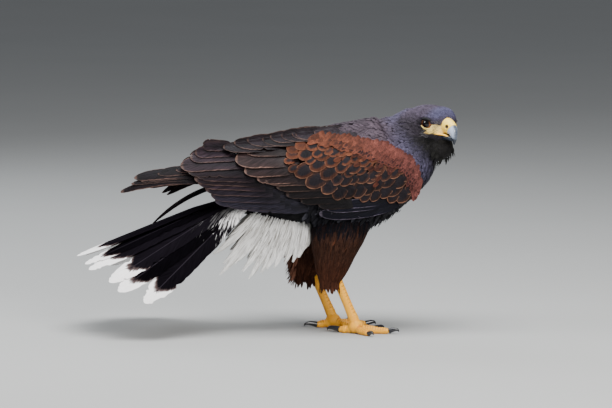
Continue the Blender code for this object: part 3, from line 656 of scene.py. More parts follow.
# Pointed black beard feathers hang from the throat, and slate tufts from the belly.
rng = np.random.default_rng(21)
ahead, left, up = in_head(roots).T
lean = normals[:, 0]
chosen = (up < -22) & (up > -46) & (ahead > -12) & (ahead < 33) & (lean[:, 2] < 0.1)
chosen &= rng.random(len(roots)) < 0.30
count = chosen.sum()
ways = coat_lie(roots, lean)[chosen] + lean[chosen] * 0.35 + (0, 0, -0.6) + rng.normal(0, 0.18, (count, 3))
loose("beard_feathers", roots[chosen], ways, lean[chosen], rng.uniform(5.5, 9, count),
      rng.uniform(1.5, 2.6, count), 0.2, 0.15, plumage(roots[chosen]), dark_coat, "dark_feathers",
      chart[chosen], 4)
chosen = (roots[:, 0] > 56) & (roots[:, 0] < 158) & (lean[:, 2] < -0.25) & (roots[:, 2] < 168)
more = np.repeat(np.flatnonzero(chosen), 3)
count = len(more)
ways = np.array((-0.9, 0, -0.28)) + lean[more] * (0.3, 0.3, 0.55) + rng.normal(0, 0.13, (count, 3))
spots = roots[more] + rng.normal(0, 1.5, (count, 3)) * (1, 1, 0.3)
tint = mix(BREAST_SLATE, (0.048, 0.048, 0.062), rng.random(count) ** 3)
size = rng.uniform(0.8, 1.2, count) * np.interp(spots[:, 0], (60, 90, 130, 155), (13, 17, 12, 4))
loose("belly_tufts", spots, ways, lean[more], size, rng.uniform(2.0, 3.6, count), 0.5, 0.2, tint,
      dark_coat, "dark_feathers", chart[more], 5)

# Stiff pale bristles fringe the bare lores and sweep back from the corners of the mouth.
# Each group is (how many, two corners of the box they root in, shortest and longest).
LORE_HAIRS = 40
BRISTLES = (
    (16, (25, 9.5, 7.5), (31, 15, 9.5), (2.5, 4.5)),
    (34, (14, 16, -8.5), (24, 22, -2.5), (4.0, 8.0)),
    (LORE_HAIRS, (25, 12, -5.5), (33, 19, 5.5), (1.8, 3.2)),
)
whiskers = []
for side in (-1, 1):
    for count, low, high, long in BRISTLES:
        place = rng.uniform(low, high, (count, 3)) * (1, side, 1)
        for spot, size in zip(head_spot(*place.T), rng.uniform(*long, count)):
            whiskers.append((*spot, size, count))
whiskers = np.array(whiskers)
line, lean = traced(whiskers[:, :3], whiskers[:, 3], STEPS, 0.28, rng)
on_lores = whiskers[:, 4:] == LORE_HAIRS
thin = np.where(on_lores, 0.13, 0.16)
height = np.where(on_lores, 0.1 + 0.5 * STEPS, 0.8 + STEPS)
grid = laid(line, lean, thin * blade(STEPS, 0.2, 0.8), height, 0.0)
tint = np.where(on_lores, (0.40, 0.28, 0.12), (0.22, 0.205, 0.225))
tint = tint * rng.uniform(0.5, 1.1, (len(tint), 1))
feathers("face_bristles", grid, lean[:, :, None], 0.15, STEPS, tint, dark_coat, "dark_feathers",
         body_chart(line[:, 0]), seed=6)


# The eyes. A hawk's eye is a wet ball with an orange-brown iris round a wide black pupil, held
# between thin lids: the lower one is pale yellow, the upper one dark under a bony brow.
def eye_finish():
    finish = Finish("wet_eye", Roughness=0.05, Specular_IOR_Level=0.5, IOR=1.38, Coat_Weight=0.4)
    reach, turn = finish.charted("Disc")
    spokes = finish.mottle(1.0, 4.0, finish.node("CombineXYZ", sockets={0: turn * 40, 1: reach * 3}))
    iris = finish.blend((0.045, 0.011, 0.002), (0.21, 0.070, 0.010), spokes.rise(0.35, 0.7))
    iris = finish.blend(iris, (0.02, 0.006, 0.002), reach.rise(0.62, 0.78))
    # The upper part of the iris is darkened: painted shade under the lid and brow.
    (shaded_half,) = finish.carried("Shade")
    iris = finish.blend(iris, (0.004, 0.002, 0.001), shaded_half * 0.9)
    colour = finish.blend((0.0005, 0.0005, 0.0005), iris, reach.rise(0.38, 0.43))
    return finish.use(colour)


def shaded(mesh, values):
    data = np.asarray(values, np.float32)
    mesh.attributes.new("Shade", "FLOAT", "POINT").data.foreach_set("value", data)


SIDES = ((-1, "right"), (1, "left"))
CORNEA_EDGE, CORNEA_RISE, DISC_EDGE = 0.52, 0.4, 1.12
eye_material = eye_finish()
for side, side_name in SIDES:
    middle, out, ahead, upright = eye_axes(side)
    rings = []
    for turn in np.linspace(0.02, math.pi * 0.75, 40):
        level, wide = EYE_SIZE * math.cos(turn), EYE_SIZE * math.sin(turn)
        if turn < CORNEA_EDGE:
            level += CORNEA_RISE * (1 - (turn / CORNEA_EDGE) ** 2)
        rings.append(oval(middle + out * level, ahead, upright, wide, wide, wide, 48))
    points, faces = loft(rings)
    mesh = bare_mesh("eye_" + side_name + "_wet", points, faces)
    local = points - middle
    reach = np.arctan2(np.linalg.norm(local - np.outer(local @ out, out), axis=1), local @ out)
    around = np.arctan2(local @ upright, local @ ahead) / (2 * math.pi)
    corner = np.empty(len(mesh.loops), int)
    mesh.loops.foreach_get("vertex_index", corner)
    disc = np.stack([reach / DISC_EDGE, np.abs(around)], 1)[corner]
    mesh.uv_layers.new(name="Disc").data.foreach_set("uv", disc.astype(np.float32).ravel())
    # The upper half of each eye is marked for painted shade from the lid and brow.
    shaded(mesh, smooth(0.05, 0.4, local @ upright / EYE_SIZE))
    piece("eye_" + side_name + "_wet", mesh, eye_material, "eye", "eye_" + side_name)

lid_finish = Finish("eyelid_skin", Roughness=0.6, Specular_IOR_Level=0.15)
lid_tint = lid_finish.node("Attribute", {"attribute_name": "Tint"})
wrinkle = lid_finish.mottle(1500.0)
lid_material = lid_finish.use(lid_finish.scaled(lid_tint, 0.8 + wrinkle * 0.4), height=wrinkle, depth=0.0002)
OPENING, LID_POINTS, LID_YELLOW = (10.6, 5.9), 64, (0.80, 0.62, 0.20)
for side, side_name in SIDES:
    middle, out, ahead, upright = eye_axes(side)
    turn = full_turn(LID_POINTS)
    wide = OPENING[0] * np.cos(turn)
    high = OPENING[1] * np.sin(turn) * (1 - 0.25 * np.cos(turn) ** 2)
    high = np.where(high > 0, high * 0.80, high * 0.95)
    rings, shades = [], []
    for grow, proud in ((0.92, -0.2), (0.97, 0.15), (1.0, 0.5), (1.06, 0.85), (1.13, 1.0),
                        (1.22, 0.9), (1.36, 0.4), (1.5, -0.7)):
        spread = np.stack([wide * (1 + (grow - 1) * 0.7), high * (1 + (grow - 1) * 1.5)], 1)
        level = np.sqrt(np.maximum((EYE_SIZE + proud) ** 2 - (spread**2).sum(1), 0.5))
        rings.append(middle + spread[:, :1] * ahead + spread[:, 1:] * upright + level[:, None] * out)
        lower = smooth(0.15, -0.45, np.sin(turn)) * smooth(1.32, 1.16, grow)
        shades.append(mix(LID_BLACK, LID_YELLOW, lower * 0.9))
    rings = np.array(rings)
    hoop = np.concatenate([rings, rings[::-1] - out * 0.9])
    rows, faces = len(hoop), []
    for r in range(rows):
        for k in range(LID_POINTS):
            n, q = (k + 1) % LID_POINTS, (r + 1) % rows
            faces.append([row * LID_POINTS + spot for row, spot in ((r, k), (r, n), (q, n), (q, k))])
    mesh = bare_mesh("lids_" + side_name, hoop.reshape(-1, 3), faces)
    shades = np.array(shades)
    point_colours(mesh, "Tint", np.concatenate([shades, shades[::-1]]).reshape(-1, 3))
    piece("lids_" + side_name, mesh, lid_material, "cere_skin")


# The bill. Pale blue-grey horn over bone, darker along the ridge and at the hooked tip, with a
# soft yellow cere holding round nostrils at its root and a yellow gape strip along the mouth.
# Rows are (step, ahead, up, half height, half width).
BILL = (
    (0, 23, 5.2, 10.2, 10.5), (1, 31, 5.3, 9.4, 8.8), (2, 37, 4.2, 8.4, 7.0),
    (3, 42, 1.4, 6.9, 5.4), (4, 45.2, -3.7, 4.9, 3.8), (5, 47.0, -9.4, 2.9, 2.3),
    (6, 47.4, -14.4, 0.8, 0.7),
)
LOWER_BILL = (
    (0, 24, -8.6, 4.4, 7.8), (1, 32, -8.2, 3.9, 6.6), (2, 39, -8.0, 3.1, 4.8),
    (3, 44, -9.4, 1.8, 2.4),
)


def bill_rings(table, start, stop, count, power, grow=0.0, sides=40):
    rings = []
    for t in np.linspace(start, stop, count):
        ahead, up, high, wide = between(table, t)
        later, sooner = between(table, t + 0.05), between(table, t - 0.05)
        line = unit(later[:2] - sooner[:2])
        upright = FORWARD * -line[1] + UP * line[0]
        rings.append(oval(head_spot(ahead, 0, up), LEFT, upright, wide + grow, high + grow,
                          high + grow, sides, power))
    return np.array(rings)


def horn_finish(name, pale, dark, from_ridge):
    finish = Finish(name, Roughness=0.28, Coat_Weight=0.4, Coat_Roughness=0.15)
    (shade,) = finish.carried("Shade")
    grain = finish.mottle(600.0)
    colour = finish.blend(pale, dark, (shade + (grain - 0.5) * 0.3).rise(*from_ridge))
    return finish.use(colour, 0.22 + grain * 0.15, grain, 0.0001)


bill_material = horn_finish("bill_horn", (0.44, 0.52, 0.68), (0.012, 0.017, 0.028), (0.05, 0.90))
points, faces = loft(bill_rings(BILL, 2.5, 6.0, 60, 2.0))
ahead, left, up = in_head(points).T
ridge = smooth(5.0, 1.2, np.abs(left)) * smooth(38, 43, ahead + up * 0.3)
shade = np.maximum(smooth(-2.0, -10.0, up), ridge * 0.7)
mesh = bare_mesh("bill_upper_horn", points, faces)
shaded(mesh, shade)
piece("bill_upper_horn", mesh, bill_material, "bill_horn", "bill_upper")
points, faces = loft(bill_rings(LOWER_BILL, 0, 3, 24, 2.3))
mesh = bare_mesh("bill_lower_horn", points, faces)
# The lower mandible is nearly as dark as the tip: partly the horn's own dark colour, partly painted shade
# under the upper bill.
shaded(mesh, np.full(len(points), 0.95))
piece("bill_lower_horn", mesh, bill_material, "bill_horn", "bill_lower")

cere_finish = Finish("cere_skin", Roughness=0.45, Subsurface_Weight=0.08)
(nostril_painted_shade,) = cere_finish.carried("Shade")
pores = cere_finish.mottle(1100.0)
cere_colour = cere_finish.blend((0.94, 0.57, 0.045), (0.96, 0.68, 0.13), pores)
# The insides of the nostrils are painted near-black: painted shade in the holes.
cere_colour = cere_finish.blend(cere_colour, (0.02, 0.008, 0.003), nostril_painted_shade)
cere_material = cere_finish.use(cere_colour, height=pores, depth=0.00025)
rings = bill_rings(BILL, 0.35, 2.66, 130, 2.0, 0.35, 120)
points = rings.reshape(-1, 3)
hub = rings.mean(1, keepdims=True)
outward = unit(rings - hub).reshape(-1, 3)
shade = np.zeros(len(points))
for side in (-1, 1):
    spot = head_spot(38.4, side * 6.7, 5.9)
    away = np.linalg.norm(points - spot, axis=1)
    points = points - outward * (2.0 * smooth(2.6, 1.4, away))[:, None]
    points = points + outward * (0.4 * smooth(4.0, 2.9, away) * smooth(2.1, 2.9, away))[:, None]
    # Mark the nostril holes for their painted shade.
    shade = np.maximum(shade, smooth(2.65, 2.0, away))
points, faces = loft(points.reshape(rings.shape))
mesh = bare_mesh("cere_soft", points, faces)
shaded(mesh, np.concatenate([shade, (0, 0)]))
piece("cere_soft", mesh, cere_material, "cere_skin", "cere")

gape_finish = Finish("gape_skin", Roughness=0.4)
folds = gape_finish.mottle(900.0)
gape_colour = gape_finish.blend((0.95, 0.42, 0.02), (0.98, 0.62, 0.08), folds)
gape_material = gape_finish.use(gape_colour, height=folds)
GAPE = (
    (15, 19.8, -5.2), (18, 19.9, -5.0), (22, 18.3, -4.8), (29, 14.0, -4.4), (36, 8.2, -4.4),
    (41, 5.2, -5.5),
)
for side, side_name in SIDES:
    steps = np.linspace(0, 5, 36)
    line = between([(k, *row) for k, row in enumerate(GAPE)], steps)
    spots = head_spot(line[:, 0], side * line[:, 1], line[:, 2])
    radii = 1.25 * np.sqrt(np.clip(1 - (steps / 2.5 - 1) ** 4, 0.02, 1)) + 0.15
    rings = [oval(p, LEFT * side, UP, r * 1.0, r * 0.8, r * 0.8, 12) for p, r in zip(spots, radii)]
    points, faces = loft(rings)
    piece("gape_" + side_name, bare_mesh("gape_" + side_name, points, faces), gape_material, "cere_skin")


# The folded wings. Flight feathers fan back from the hand and the forearm, and rows of coverts
# lie over their roots, each row over the one below it. Colour is in the feathers themselves:
# black-brown quills, and a rust-red shoulder whose scales have dark hearts and pale rims.
# Rows are (x, half width, middle level, height above it, below it).
WING = (
    (210, 36, 190, 58, 84), (184, 48, 190, 60, 86), (136, 67, 190, 63, 90), (94, 73, 190, 61, 92),
    (16, 68, 186, 55, 92), (-44, 55, 180, 50, 88), (-104, 44, 176, 46, 84), (-200, 33, 168, 42, 80),
)


def wing_spot(side, x, z, depth, droop=0.0):
    """A point under the folded wing's outer surface, and the way that surface faces."""
    x, z, depth = np.broadcast_arrays(np.asarray(x, float), z, depth)
    width, middle, above, below = np.moveaxis(between(WING, x), -1, 0)
    high = np.where(z > middle, above, below)
    s = np.clip((z - middle) / high, -0.95, 0.95)
    c = np.sqrt(1 - s * s)
    facing = unit(np.stack([np.zeros_like(c), c / width, s / high], -1))
    y = width * c - facing[..., 1] * depth
    fall = droop * np.maximum(0.0, -40 - x) ** 2
    spot = np.stack([x, side * y, z - facing[..., 2] * depth - fall], -1)
    return spot, facing * (1, side, 1)


def spread_along(line, count):
    """Points shared out along a line of corners."""
    line = np.array(line, float)
    steps = np.arange(len(line))
    at = np.linspace(0, steps[-1], count)
    return np.stack([np.interp(at, steps, line[:, k]) for k in range(line.shape[1])], -1)


def quills(side, roots, tips, half, sink, depth, bow, rows, columns, blunt, root_share, tilt, fray,
           rng, droop=0.0, lean=0.0, camber=0.0):
    """Blades on the folded wing, each one's lower edge lifted over the one below it."""
    roots, tips = np.array(roots, float), np.array(tips, float)
    count = len(roots)
    t = np.sin(np.linspace(0, 1, rows) * math.pi / 2)
    s = np.linspace(-1, 1, columns)
    line = tips - roots
    across = unit(np.stack([-line[:, 1], line[:, 0]], 1))
    half = np.broadcast_to(half, (count,))
    bend = np.broadcast_to(bow, (count,))[:, None] * 4 * t * (1 - t)
    middle = roots[:, None] + line[:, None] * t[:, None] + across[:, None] * bend[..., None]
    share = blade(t, blunt, root_share)
    wide = half[:, None, None] * share[:, None] * (s - lean * (1 - s**2))
    ragged = 1 - fray * np.abs(rng.normal(0, 1, (count, rows, 2))) * (t > 0.25)[:, None]
    split = rng.random((count, rows, 2)) < fray * 0.25
    ragged = np.where(split & (t > 0.35)[:, None], ragged - 0.22, ragged)
    wide = wide * np.where(s < 0, ragged[..., :1], ragged[..., 1:])
    x = middle[..., :1] + across[:, None, :1] * wide
    z = middle[..., 1:] + across[:, None, 1:] * wide
    ease = np.minimum(1, t / 0.3)
    below = np.broadcast_to(sink + (depth - sink) * ease[:, None], x.shape)
    under = below - s * np.broadcast_to(tilt, (count,))[:, None, None] + camber * s**2 * share[:, None]
    return (*wing_spot(side, x, z, under, droop), t)


def wing_chart(roots):
    """Where a root lies on the wing laid flat."""
    turn = np.arcsin(np.clip((roots[:, 1] - 188) / 62, -1, 1)) / math.pi + 0.5
    return np.stack([0.03 + 0.94 * (roots[:, 0] + 60) / 260, 0.03 + 0.94 * turn], 1)


wing_coat = feather_finish("wing_plumage", (0.18, 0.058, 0.024), (0.006, 0.005, 0.008), 0.7,
                           Roughness=0.65, Specular_IOR_Level=0.08)
quill_coat = feather_finish("quill_plumage", (0.155, 0.090, 0.070), (0.004, 0.004, 0.007), 0.8,
                            Roughness=0.55, Specular_IOR_Level=0.12)


def scale_finish():
    """Round scale feathers: a dark heart, a rust-red field and a thin pale rim."""
    finish = Finish("scale_plumage", Roughness=0.65, Specular_IOR_Level=0.08)
    tint = finish.node("Attribute", {"attribute_name": "Tint"})
    rim_share, heart_share, tone = finish.carried("Rim", "Heart", "Tone")
    u, along = finish.charted()
    across = abs(u * 2 - 1)
    barb = finish.node("CombineXYZ", sockets={0: along * 20 - across * 6, 1: across * 1.3, 2: tone * 37})
    lines = finish.mottle(1.0, 2.0, barb)
    wave = (finish.mottle(160.0, 3.0) - 0.5) * 0.30 + (lines - 0.5) * 0.20
    end = (along - 0.62).sum("MAXIMUM", along - 0.62, 0.0) * 2.55
    disc = across * across + end * end
    rim = (disc + wave * 0.5).rise(0.80, 0.95) * rim_share
    heart = (1 - (disc + wave + (1 - heart_share) * 0.42).rise(0.28, 0.68)) * heart_share.rise(0.0, 0.45)
    colour = finish.blend(tint, (0.0088, 0.0072, 0.0092), heart)
    colour = finish.blend(colour, (0.145, 0.070, 0.043), rim)
    light = 0.75 + (lines - 0.5) * 1.5 + tone * 0.45 + (finish.mottle(70.0) - 0.5) * 0.9
    return finish.use(finish.scaled(colour, light), None, lines, 0.00025)


scale_coat = scale_finish()
CORE_EDGE = (
    (-8, 212), (20, 221), (63, 232), (143, 226), (169, 212), (180, 196), (183, 181), (178, 166),
    (166, 156), (135, 148), (100, 147), (60, 153), (28, 160), (2, 172), (-14, 186), (-18, 200),
)
# Each quill as (root x, root z, tip x, tip z, half width, bow), the lowest first.
PRIMARIES = {
    -1: (
        (-60, 181, -139, 176, 5.0, -7), (-66, 182, -158, 172, 5.2, -8), (-74, 183.6, -174.8, 169.2, 5.8, -8),
        (-70, 187, -163, 182, 6.0, -6), (-72, 193, -150, 186, 7.0, -5), (-72, 198, -158.6, 191, 9.5, -4),
        (-70, 203, -130.4, 198, 8.5, -3), (-65, 205.4, -108.8, 203, 7.0, -2),
    ),
    1: (
        (-50, 170, -139, 152, 2.6, -3), (-52, 172, -137, 155, 2.4, -3), (-46, 186, -120, 181, 6.0, -3),
        (-50, 191, -126, 188, 7.5, -3), (-52, 196, -120, 194, 8.5, -3), (-52, 201, -110, 200, 8.5, -3),
        (-50, 205, -98, 204, 7.0, -2),
    ),
}
WING_DROOP = {-1: 0.0, 1: 0.003}
SECONDARIES = (
    (64, 151, -30, 155, 8, 0), (60, 155, -48, 157, 8, 0), (54.4, 158.3, -62, 160.1, 9, -1),
    (46, 164.3, -66.2, 167.4, 9.5, -1), (35.2, 172.8, -72.8, 176.4, 10.5, -2),
    (28, 178.8, -81.2, 183.6, 10.5, -2), (23.2, 184.9, -86, 190.3, 10.5, -2),
    (12, 192, -84, 195, 10, -1), (1.6, 198.1, -94.4, 199.3, 10.5, -2), (-5.6, 212.6, -103.4, 206, 11.5, -2),
    (-12.8, 222.3, -92, 217.4, 10, -1), (-22.4, 227.7, -86, 222.9, 8.5, 0),
    (-34.4, 229.5, -76.4, 230.1, 7, 0),
)
GREATER_COVERTS = (
    (116, 160, 62, 158, 6, 0), (102.4, 165.5, 40, 163.1, 7.5, -2), (107.2, 174, 23.2, 171.2, 9, -3),
    (88, 183.6, 11.2, 180, 9.5, -2), (73.6, 190.9, -0.8, 188, 10.5, -2), (54.4, 193.3, -11, 189.7, 8, 0),
    (47.2, 203, -26, 199.3, 10, -1), (40, 214, -36.8, 213, 12.5, -1), (35.2, 225.9, -27.2, 223.5, 9, 0),
)
ALULA = (
    (158, 155, 110, 142, 4.5, 0), (156, 157, 63.4, 145, 7.4, 4), (154, 160.7, 71.2, 152.9, 6.6, 1),
    (152, 162.5, 89.2, 157.6, 5.4, 0),
)
# Each scale as (middle x, middle z, slant in degrees, radius, how dark its heart is).
SCALES = (
    (26.2, 211.4, 10, 4.6, 0.4), (31, 201.7, 25, 5, 0.7), (42.4, 199.3, 28, 9.4, 0.8),
    (56.8, 187.3, 30, 10.4, 0.75), (59.2, 206.6, 35, 8.8, 0.8), (72.4, 196.9, 38, 9.2, 0.9),
    (77.2, 211.4, 40, 8.2, 0.85), (44.8, 218.6, 22, 7.8, 0.9), (79.6, 221.1, 35, 6.2, 0.9),
    (50.8, 211.4, 40, 5.4, 0.9), (53.2, 228.3, 15, 6.4, 0.7), (67, 228.3, 18, 6.6, 0.7),
    (88, 204.2, 50, 7.8, 0.9), (97.6, 198.1, 50, 6.6, 0.8), (103.6, 203, 45, 7.2, 0.9),
    (94, 211.4, 45, 5.8, 0.6), (115.6, 210.2, 45, 6.6, 0.6), (83.2, 188.5, 55, 6.8, 1),
    (92.8, 188.5, 55, 7.6, 1), (73.6, 178.8, 42, 8.6, 1), (85.6, 172.8, 60, 8.8, 1),
    (97.6, 174, 62, 8.2, 1), (109, 175.2, 60, 8.6, 1), (120.4, 177.6, 60, 8.2, 1),
    (131.2, 182.4, 60, 7.6, 1), (113.2, 190.9, 42, 7.6, 1), (142, 186.1, 45, 8.2, 1),
    (150.4, 175.2, 50, 8.4, 1), (140.8, 173, 58, 7.6, 1), (157.6, 184.9, 62, 8, 0.9),
    (166, 190.9, 65, 6, 0.8), (172, 181.2, 70, 6.2, 0.9), (161.2, 166.8, 55, 8.4, 0.9),
    (173.2, 169.2, 65, 6.4, 0.8), (30, 225.3, 8, 6.4, 0.35), (29.5, 218.6, 12, 6.4, 0.35),
    (132.4, 199.3, 55, 6.8, 0.5), (102.4, 188.5, 52, 6.2, 1), (66, 217.6, 30, 7, 0.5),
    (40, 229.1, 12, 6.2, 0.3), (151.6, 195.7, 50, 7, 0.5), (124, 190, 52, 6.8, 0.8),
    (128, 169, 60, 6.6, 0.9), (117, 168, 60, 6.6, 0.9), (150, 165.5, 55, 6.4, 0.8),
    (120, 207, 50, 6, 0.7), (134, 204, 52, 6.2, 0.75), (148, 202, 55, 6.2, 0.7), (160, 200, 58, 6, 0.8),
    (169, 194, 62, 5.8, 0.8), (105, 214, 45, 6, 0.5), (89, 221, 40, 5.6, 0.5), (73, 223, 35, 5.4, 0.5),
    (98, 222, 42, 5.2, 0.2), (113, 216, 45, 5.6, 0.3), (127, 213, 48, 5.4, 0.3), (142, 209, 52, 5.2, 0.3),
    (155, 206, 56, 5.2, 0.35), (177, 176, 68, 5.6, 0.8), (178, 186, 70, 5.2, 0.6), (60, 220, 30, 5.8, 0.8),
    (128, 194, 52, 6.2, 0.8), (141, 193, 54, 6.4, 0.8), (112, 200, 50, 6, 0.8), (170, 175, 62, 6, 0.9),
)


def cell_row(count, start, step, level):
    """Each long feather's own place on the unwrapped wing."""
    return np.stack([start + step * np.arange(count), np.full(count, level)], 1)


def quill_set(side, table, sink, depth, rows, blunt, tilt, fray, rng, lean=0.0, droop=0.0):
    rows_of = np.array(table, float)
    jitter = rng.normal(0, 0.5 if side < 0 else 1.2, (len(rows_of), 4))
    rows_of[:, :4] += jitter
    return quills(side, rows_of[:, :2], rows_of[:, 2:4], rows_of[:, 4], sink, depth, rows_of[:, 5],
                  rows, 9, blunt, 0.5, tilt, fray, rng, droop, lean)


for side, side_name in SIDES:
    rng = np.random.default_rng(40 + side)
    hub = np.array(CORE_EDGE).mean(0)
    rings = []
    for share, depth in ((0.1, 12.5), (0.5, 12.0), (0.86, 13), (1, 16), (1, 20), (0.86, 23.5), (0.1, 25)):
        edge = hub + (spread_along(CORE_EDGE + CORE_EDGE[:1], 73)[:-1] - hub) * share
        rings.append(wing_spot(side, edge[:, 0], edge[:, 1], depth)[0])
    mesh = bare_mesh("wing_core_" + side_name, *loft(rings))
    # The wing core is painted near-black: painted shade in the gaps between the wing feathers.
    point_colours(mesh, "Tint", np.tile((0.012, 0.010, 0.012), (len(mesh.vertices), 1)))
    piece("wing_core_" + side_name, mesh, skin_material, "wing_feathers", "wing_" + side_name)

    blades = quill_set(side, PRIMARIES[side], 17.5, 13.4, 40, 0.66, 1.0, 0.03, rng, 0.25, WING_DROOP[side])
    count = len(PRIMARIES[side])
    cells = cell_row(count, 0.1, 0.11, 0.9)
    tint = mix((0.0050, 0.0030, 0.0050), (0.0086, 0.0046, 0.0070), rng.random(count))
    feathers("primaries_" + side_name, blades[0], blades[1], 0.5, blades[2], tint, quill_coat,
             "wing_feathers", cells, 0.55, 0.5, (0.09, 0.15), seed=7)

    blades = quill_set(side, SECONDARIES, 15.0, 7.4, 40, 0.80, 1.3, 0.022, rng)
    count = len(SECONDARIES)
    cells = cell_row(count, 0.06, 0.07, 0.7)
    tint = mix((0.0220, 0.0200, 0.0330), (0.0175, 0.0100, 0.0145), smooth(1, 6, np.arange(count)))
    tint = tint * rng.uniform(0.7, 1.35, (count, 1))
    tint = tint * np.interp(np.arange(count), (7, 10), (1, 1.35))[:, None]
    rims = np.linspace(0.1, 0.8, count) * rng.uniform(0.3, 1, count)
    feathers("secondaries_" + side_name, blades[0], blades[1], 0.5, blades[2], tint, quill_coat,
             "wing_feathers", cells, rims, 0.6, (0.05, 0.15), seed=8)

    blades = quill_set(side, GREATER_COVERTS, 6.6, 3.0, 30, 0.70, 1.3, 0.02, rng)
    count = len(GREATER_COVERTS)
    cells = cell_row(count, 0.06, 0.09, 0.5)
    tint = mix((0.0040, 0.0028, 0.0036), (0.0205, 0.0115, 0.0115), smooth(1, 7, np.arange(count)))
    tint = tint * rng.uniform(0.75, 1.35, (count, 1))
    rims = np.interp(np.arange(count), (0, 3, 5), (0.1, 0.25, 0.9))
    feathers("greater_coverts_" + side_name, blades[0], blades[1], 0.5, blades[2], tint, quill_coat,
             "wing_feathers", cells, rims, 0.3, (0.06, 0.15), seed=9)

    blades = quill_set(side, ALULA, 6.0, 3.6, 30, 0.72, 1.0, 0.02, rng)
    count = len(ALULA)
    cells = cell_row(count, 0.1, 0.16, 0.3)
    feathers("alula_" + side_name, blades[0], blades[1], 0.6, blades[2], (0.0055, 0.0056, 0.0130),
             dark_coat, "wing_feathers", cells, 0.9, 0.3, (0.12, 0.15), seed=9)

    table = np.array(SCALES, float)
    table = table[np.argsort(table[:, 0] * 0.5 + table[:, 1])]
    table[:, :2] += rng.normal(0, 0.3 if side < 0 else 1.0, (len(table), 2))
    slant = np.radians(table[:, 2])
    way = np.stack([-np.cos(slant), -np.sin(slant)], 1) * table[:, 3:4]
    blades = quills(side, table[:, :2] - way * 1.7, table[:, :2] + way * 1.05, table[:, 3], 4.2,
                    0.9, 0, 26, 9, 0.50, 0.6, 0.55, 0.02, rng, camber=0.5)
    chart = wing_chart(table[:, :2])
    tint = mix((0.019, 0.0100, 0.0088), (0.085, 0.026, 0.012), smooth(182, 222, table[:, 1]))
    tint = tint * rng.uniform(0.7, 1.3, (len(table), 1))
    rims = np.interp(table[:, 1], (190, 225), (0.85, 0.45)) * rng.uniform(0.5, 1.1, len(table))
    hearts = table[:, 4] * rng.uniform(0.6, 1, len(table))
    feathers("scales_" + side_name, blades[0], blades[1], 0.4, blades[2], tint, scale_coat,
             "wing_feathers", chart, rims, hearts, (0.02, 0.02), seed=10)

# The plain red of the shoulder: small soft feathers from the wrist back over the forearm.
PATCH = (
    (50, 232), (60, 240.0), (93, 239), (142, 230.5), (171, 214), (182, 198), (184.5, 183),
    (180, 168), (174, 163), (173, 178), (168, 192), (158, 203), (138, 209), (114, 219), (80, 229),
)
# Farther down, single red feathers lie among the scales.
STRAY_PATCH = (
    (28, 214), (50, 232), (80, 229), (114, 219), (138, 209), (158, 203), (168, 192), (173, 178),
    (168, 168), (140, 168), (110, 172), (76, 182), (44, 196),
)
PATCH_FOOT = spread_along(PATCH[8:], 60)
ROSE_RED, ORANGE_RED, WRIST_RED = (0.150, 0.046, 0.036), (0.114, 0.0345, 0.0180), (0.142, 0.048, 0.043)
TRIES = 26000


def inside_patch(spots, outline):
    x, z = spots.T
    found = np.zeros(len(spots), bool)
    for (ax, az), (bx, bz) in zip(outline, outline[1:] + outline[:1]):
        crosses = (az > z) != (bz > z)
        found ^= crosses & (x < (bx - ax) * (z - az) / (bz - az + 1e-9) + ax)
    return found


for side, side_name in SIDES:
    rng = np.random.default_rng(60 + side)
    tries = np.stack([rng.uniform(15, 190, TRIES), rng.uniform(155, 244, TRIES)], 1)
    kept = inside_patch(tries, PATCH)
    near = np.linalg.norm(tries[:, None] - PATCH_FOOT, axis=2).min(1)
    kept |= inside_patch(tries, STRAY_PATCH) & (rng.random(len(tries)) < 0.0125 * np.exp(-near / 6.5))
    tries = tries[kept]
    spots = tries[spaced(tries, np.interp(tries[:, 0], (60, 150), (3.4, 2.5)))]
    gap = np.interp(spots[:, 0], (60, 150), (4.2, 3.0))
    slant = np.radians(np.interp(spots[:, 0], (30, 100, 150, 182), (20, 34, 52, 78)))
    slant += rng.normal(0, 0.12, len(spots))
    way = np.stack([-np.cos(slant), -np.sin(slant)], 1)
    length = gap * rng.uniform(2.3, 3.0, len(spots))
    blades = quills(side, spots - way * length[:, None] * 0.5, spots + way * length[:, None] * 0.5,
                    gap * 0.78, 1.6, 0.1 - 0.25 * rng.random((len(spots), 1, 1)), 0, 8, 5, 0.45, 0.6, 0.05,
                    0.03, rng, camber=0.2)
    tint = mix(ROSE_RED, ORANGE_RED, smooth(158, 90, spots[:, 0] + (spots[:, 1] - 215) * 0.4))
    tint = mix(tint, WRIST_RED, smooth(150, 178, spots[:, 0]) * 0.7)
    tint = tint * rng.uniform(0.7, 1.3, (len(spots), 1))
    edge = np.linalg.norm(spots[:, None] - PATCH_FOOT, axis=2).min(1)
    inside = inside_patch(spots, PATCH)
    heart = np.where(inside, smooth(14, 2, edge) * 0.9, 0.5) * rng.random(len(spots))
    tint[~inside] *= 0.62
    feathers("shoulder_" + side_name, blades[0], blades[1], 0.3, blades[2],
             tint, wing_coat, "wing_feathers", wing_chart(spots), 0.2, heart, seed=10)

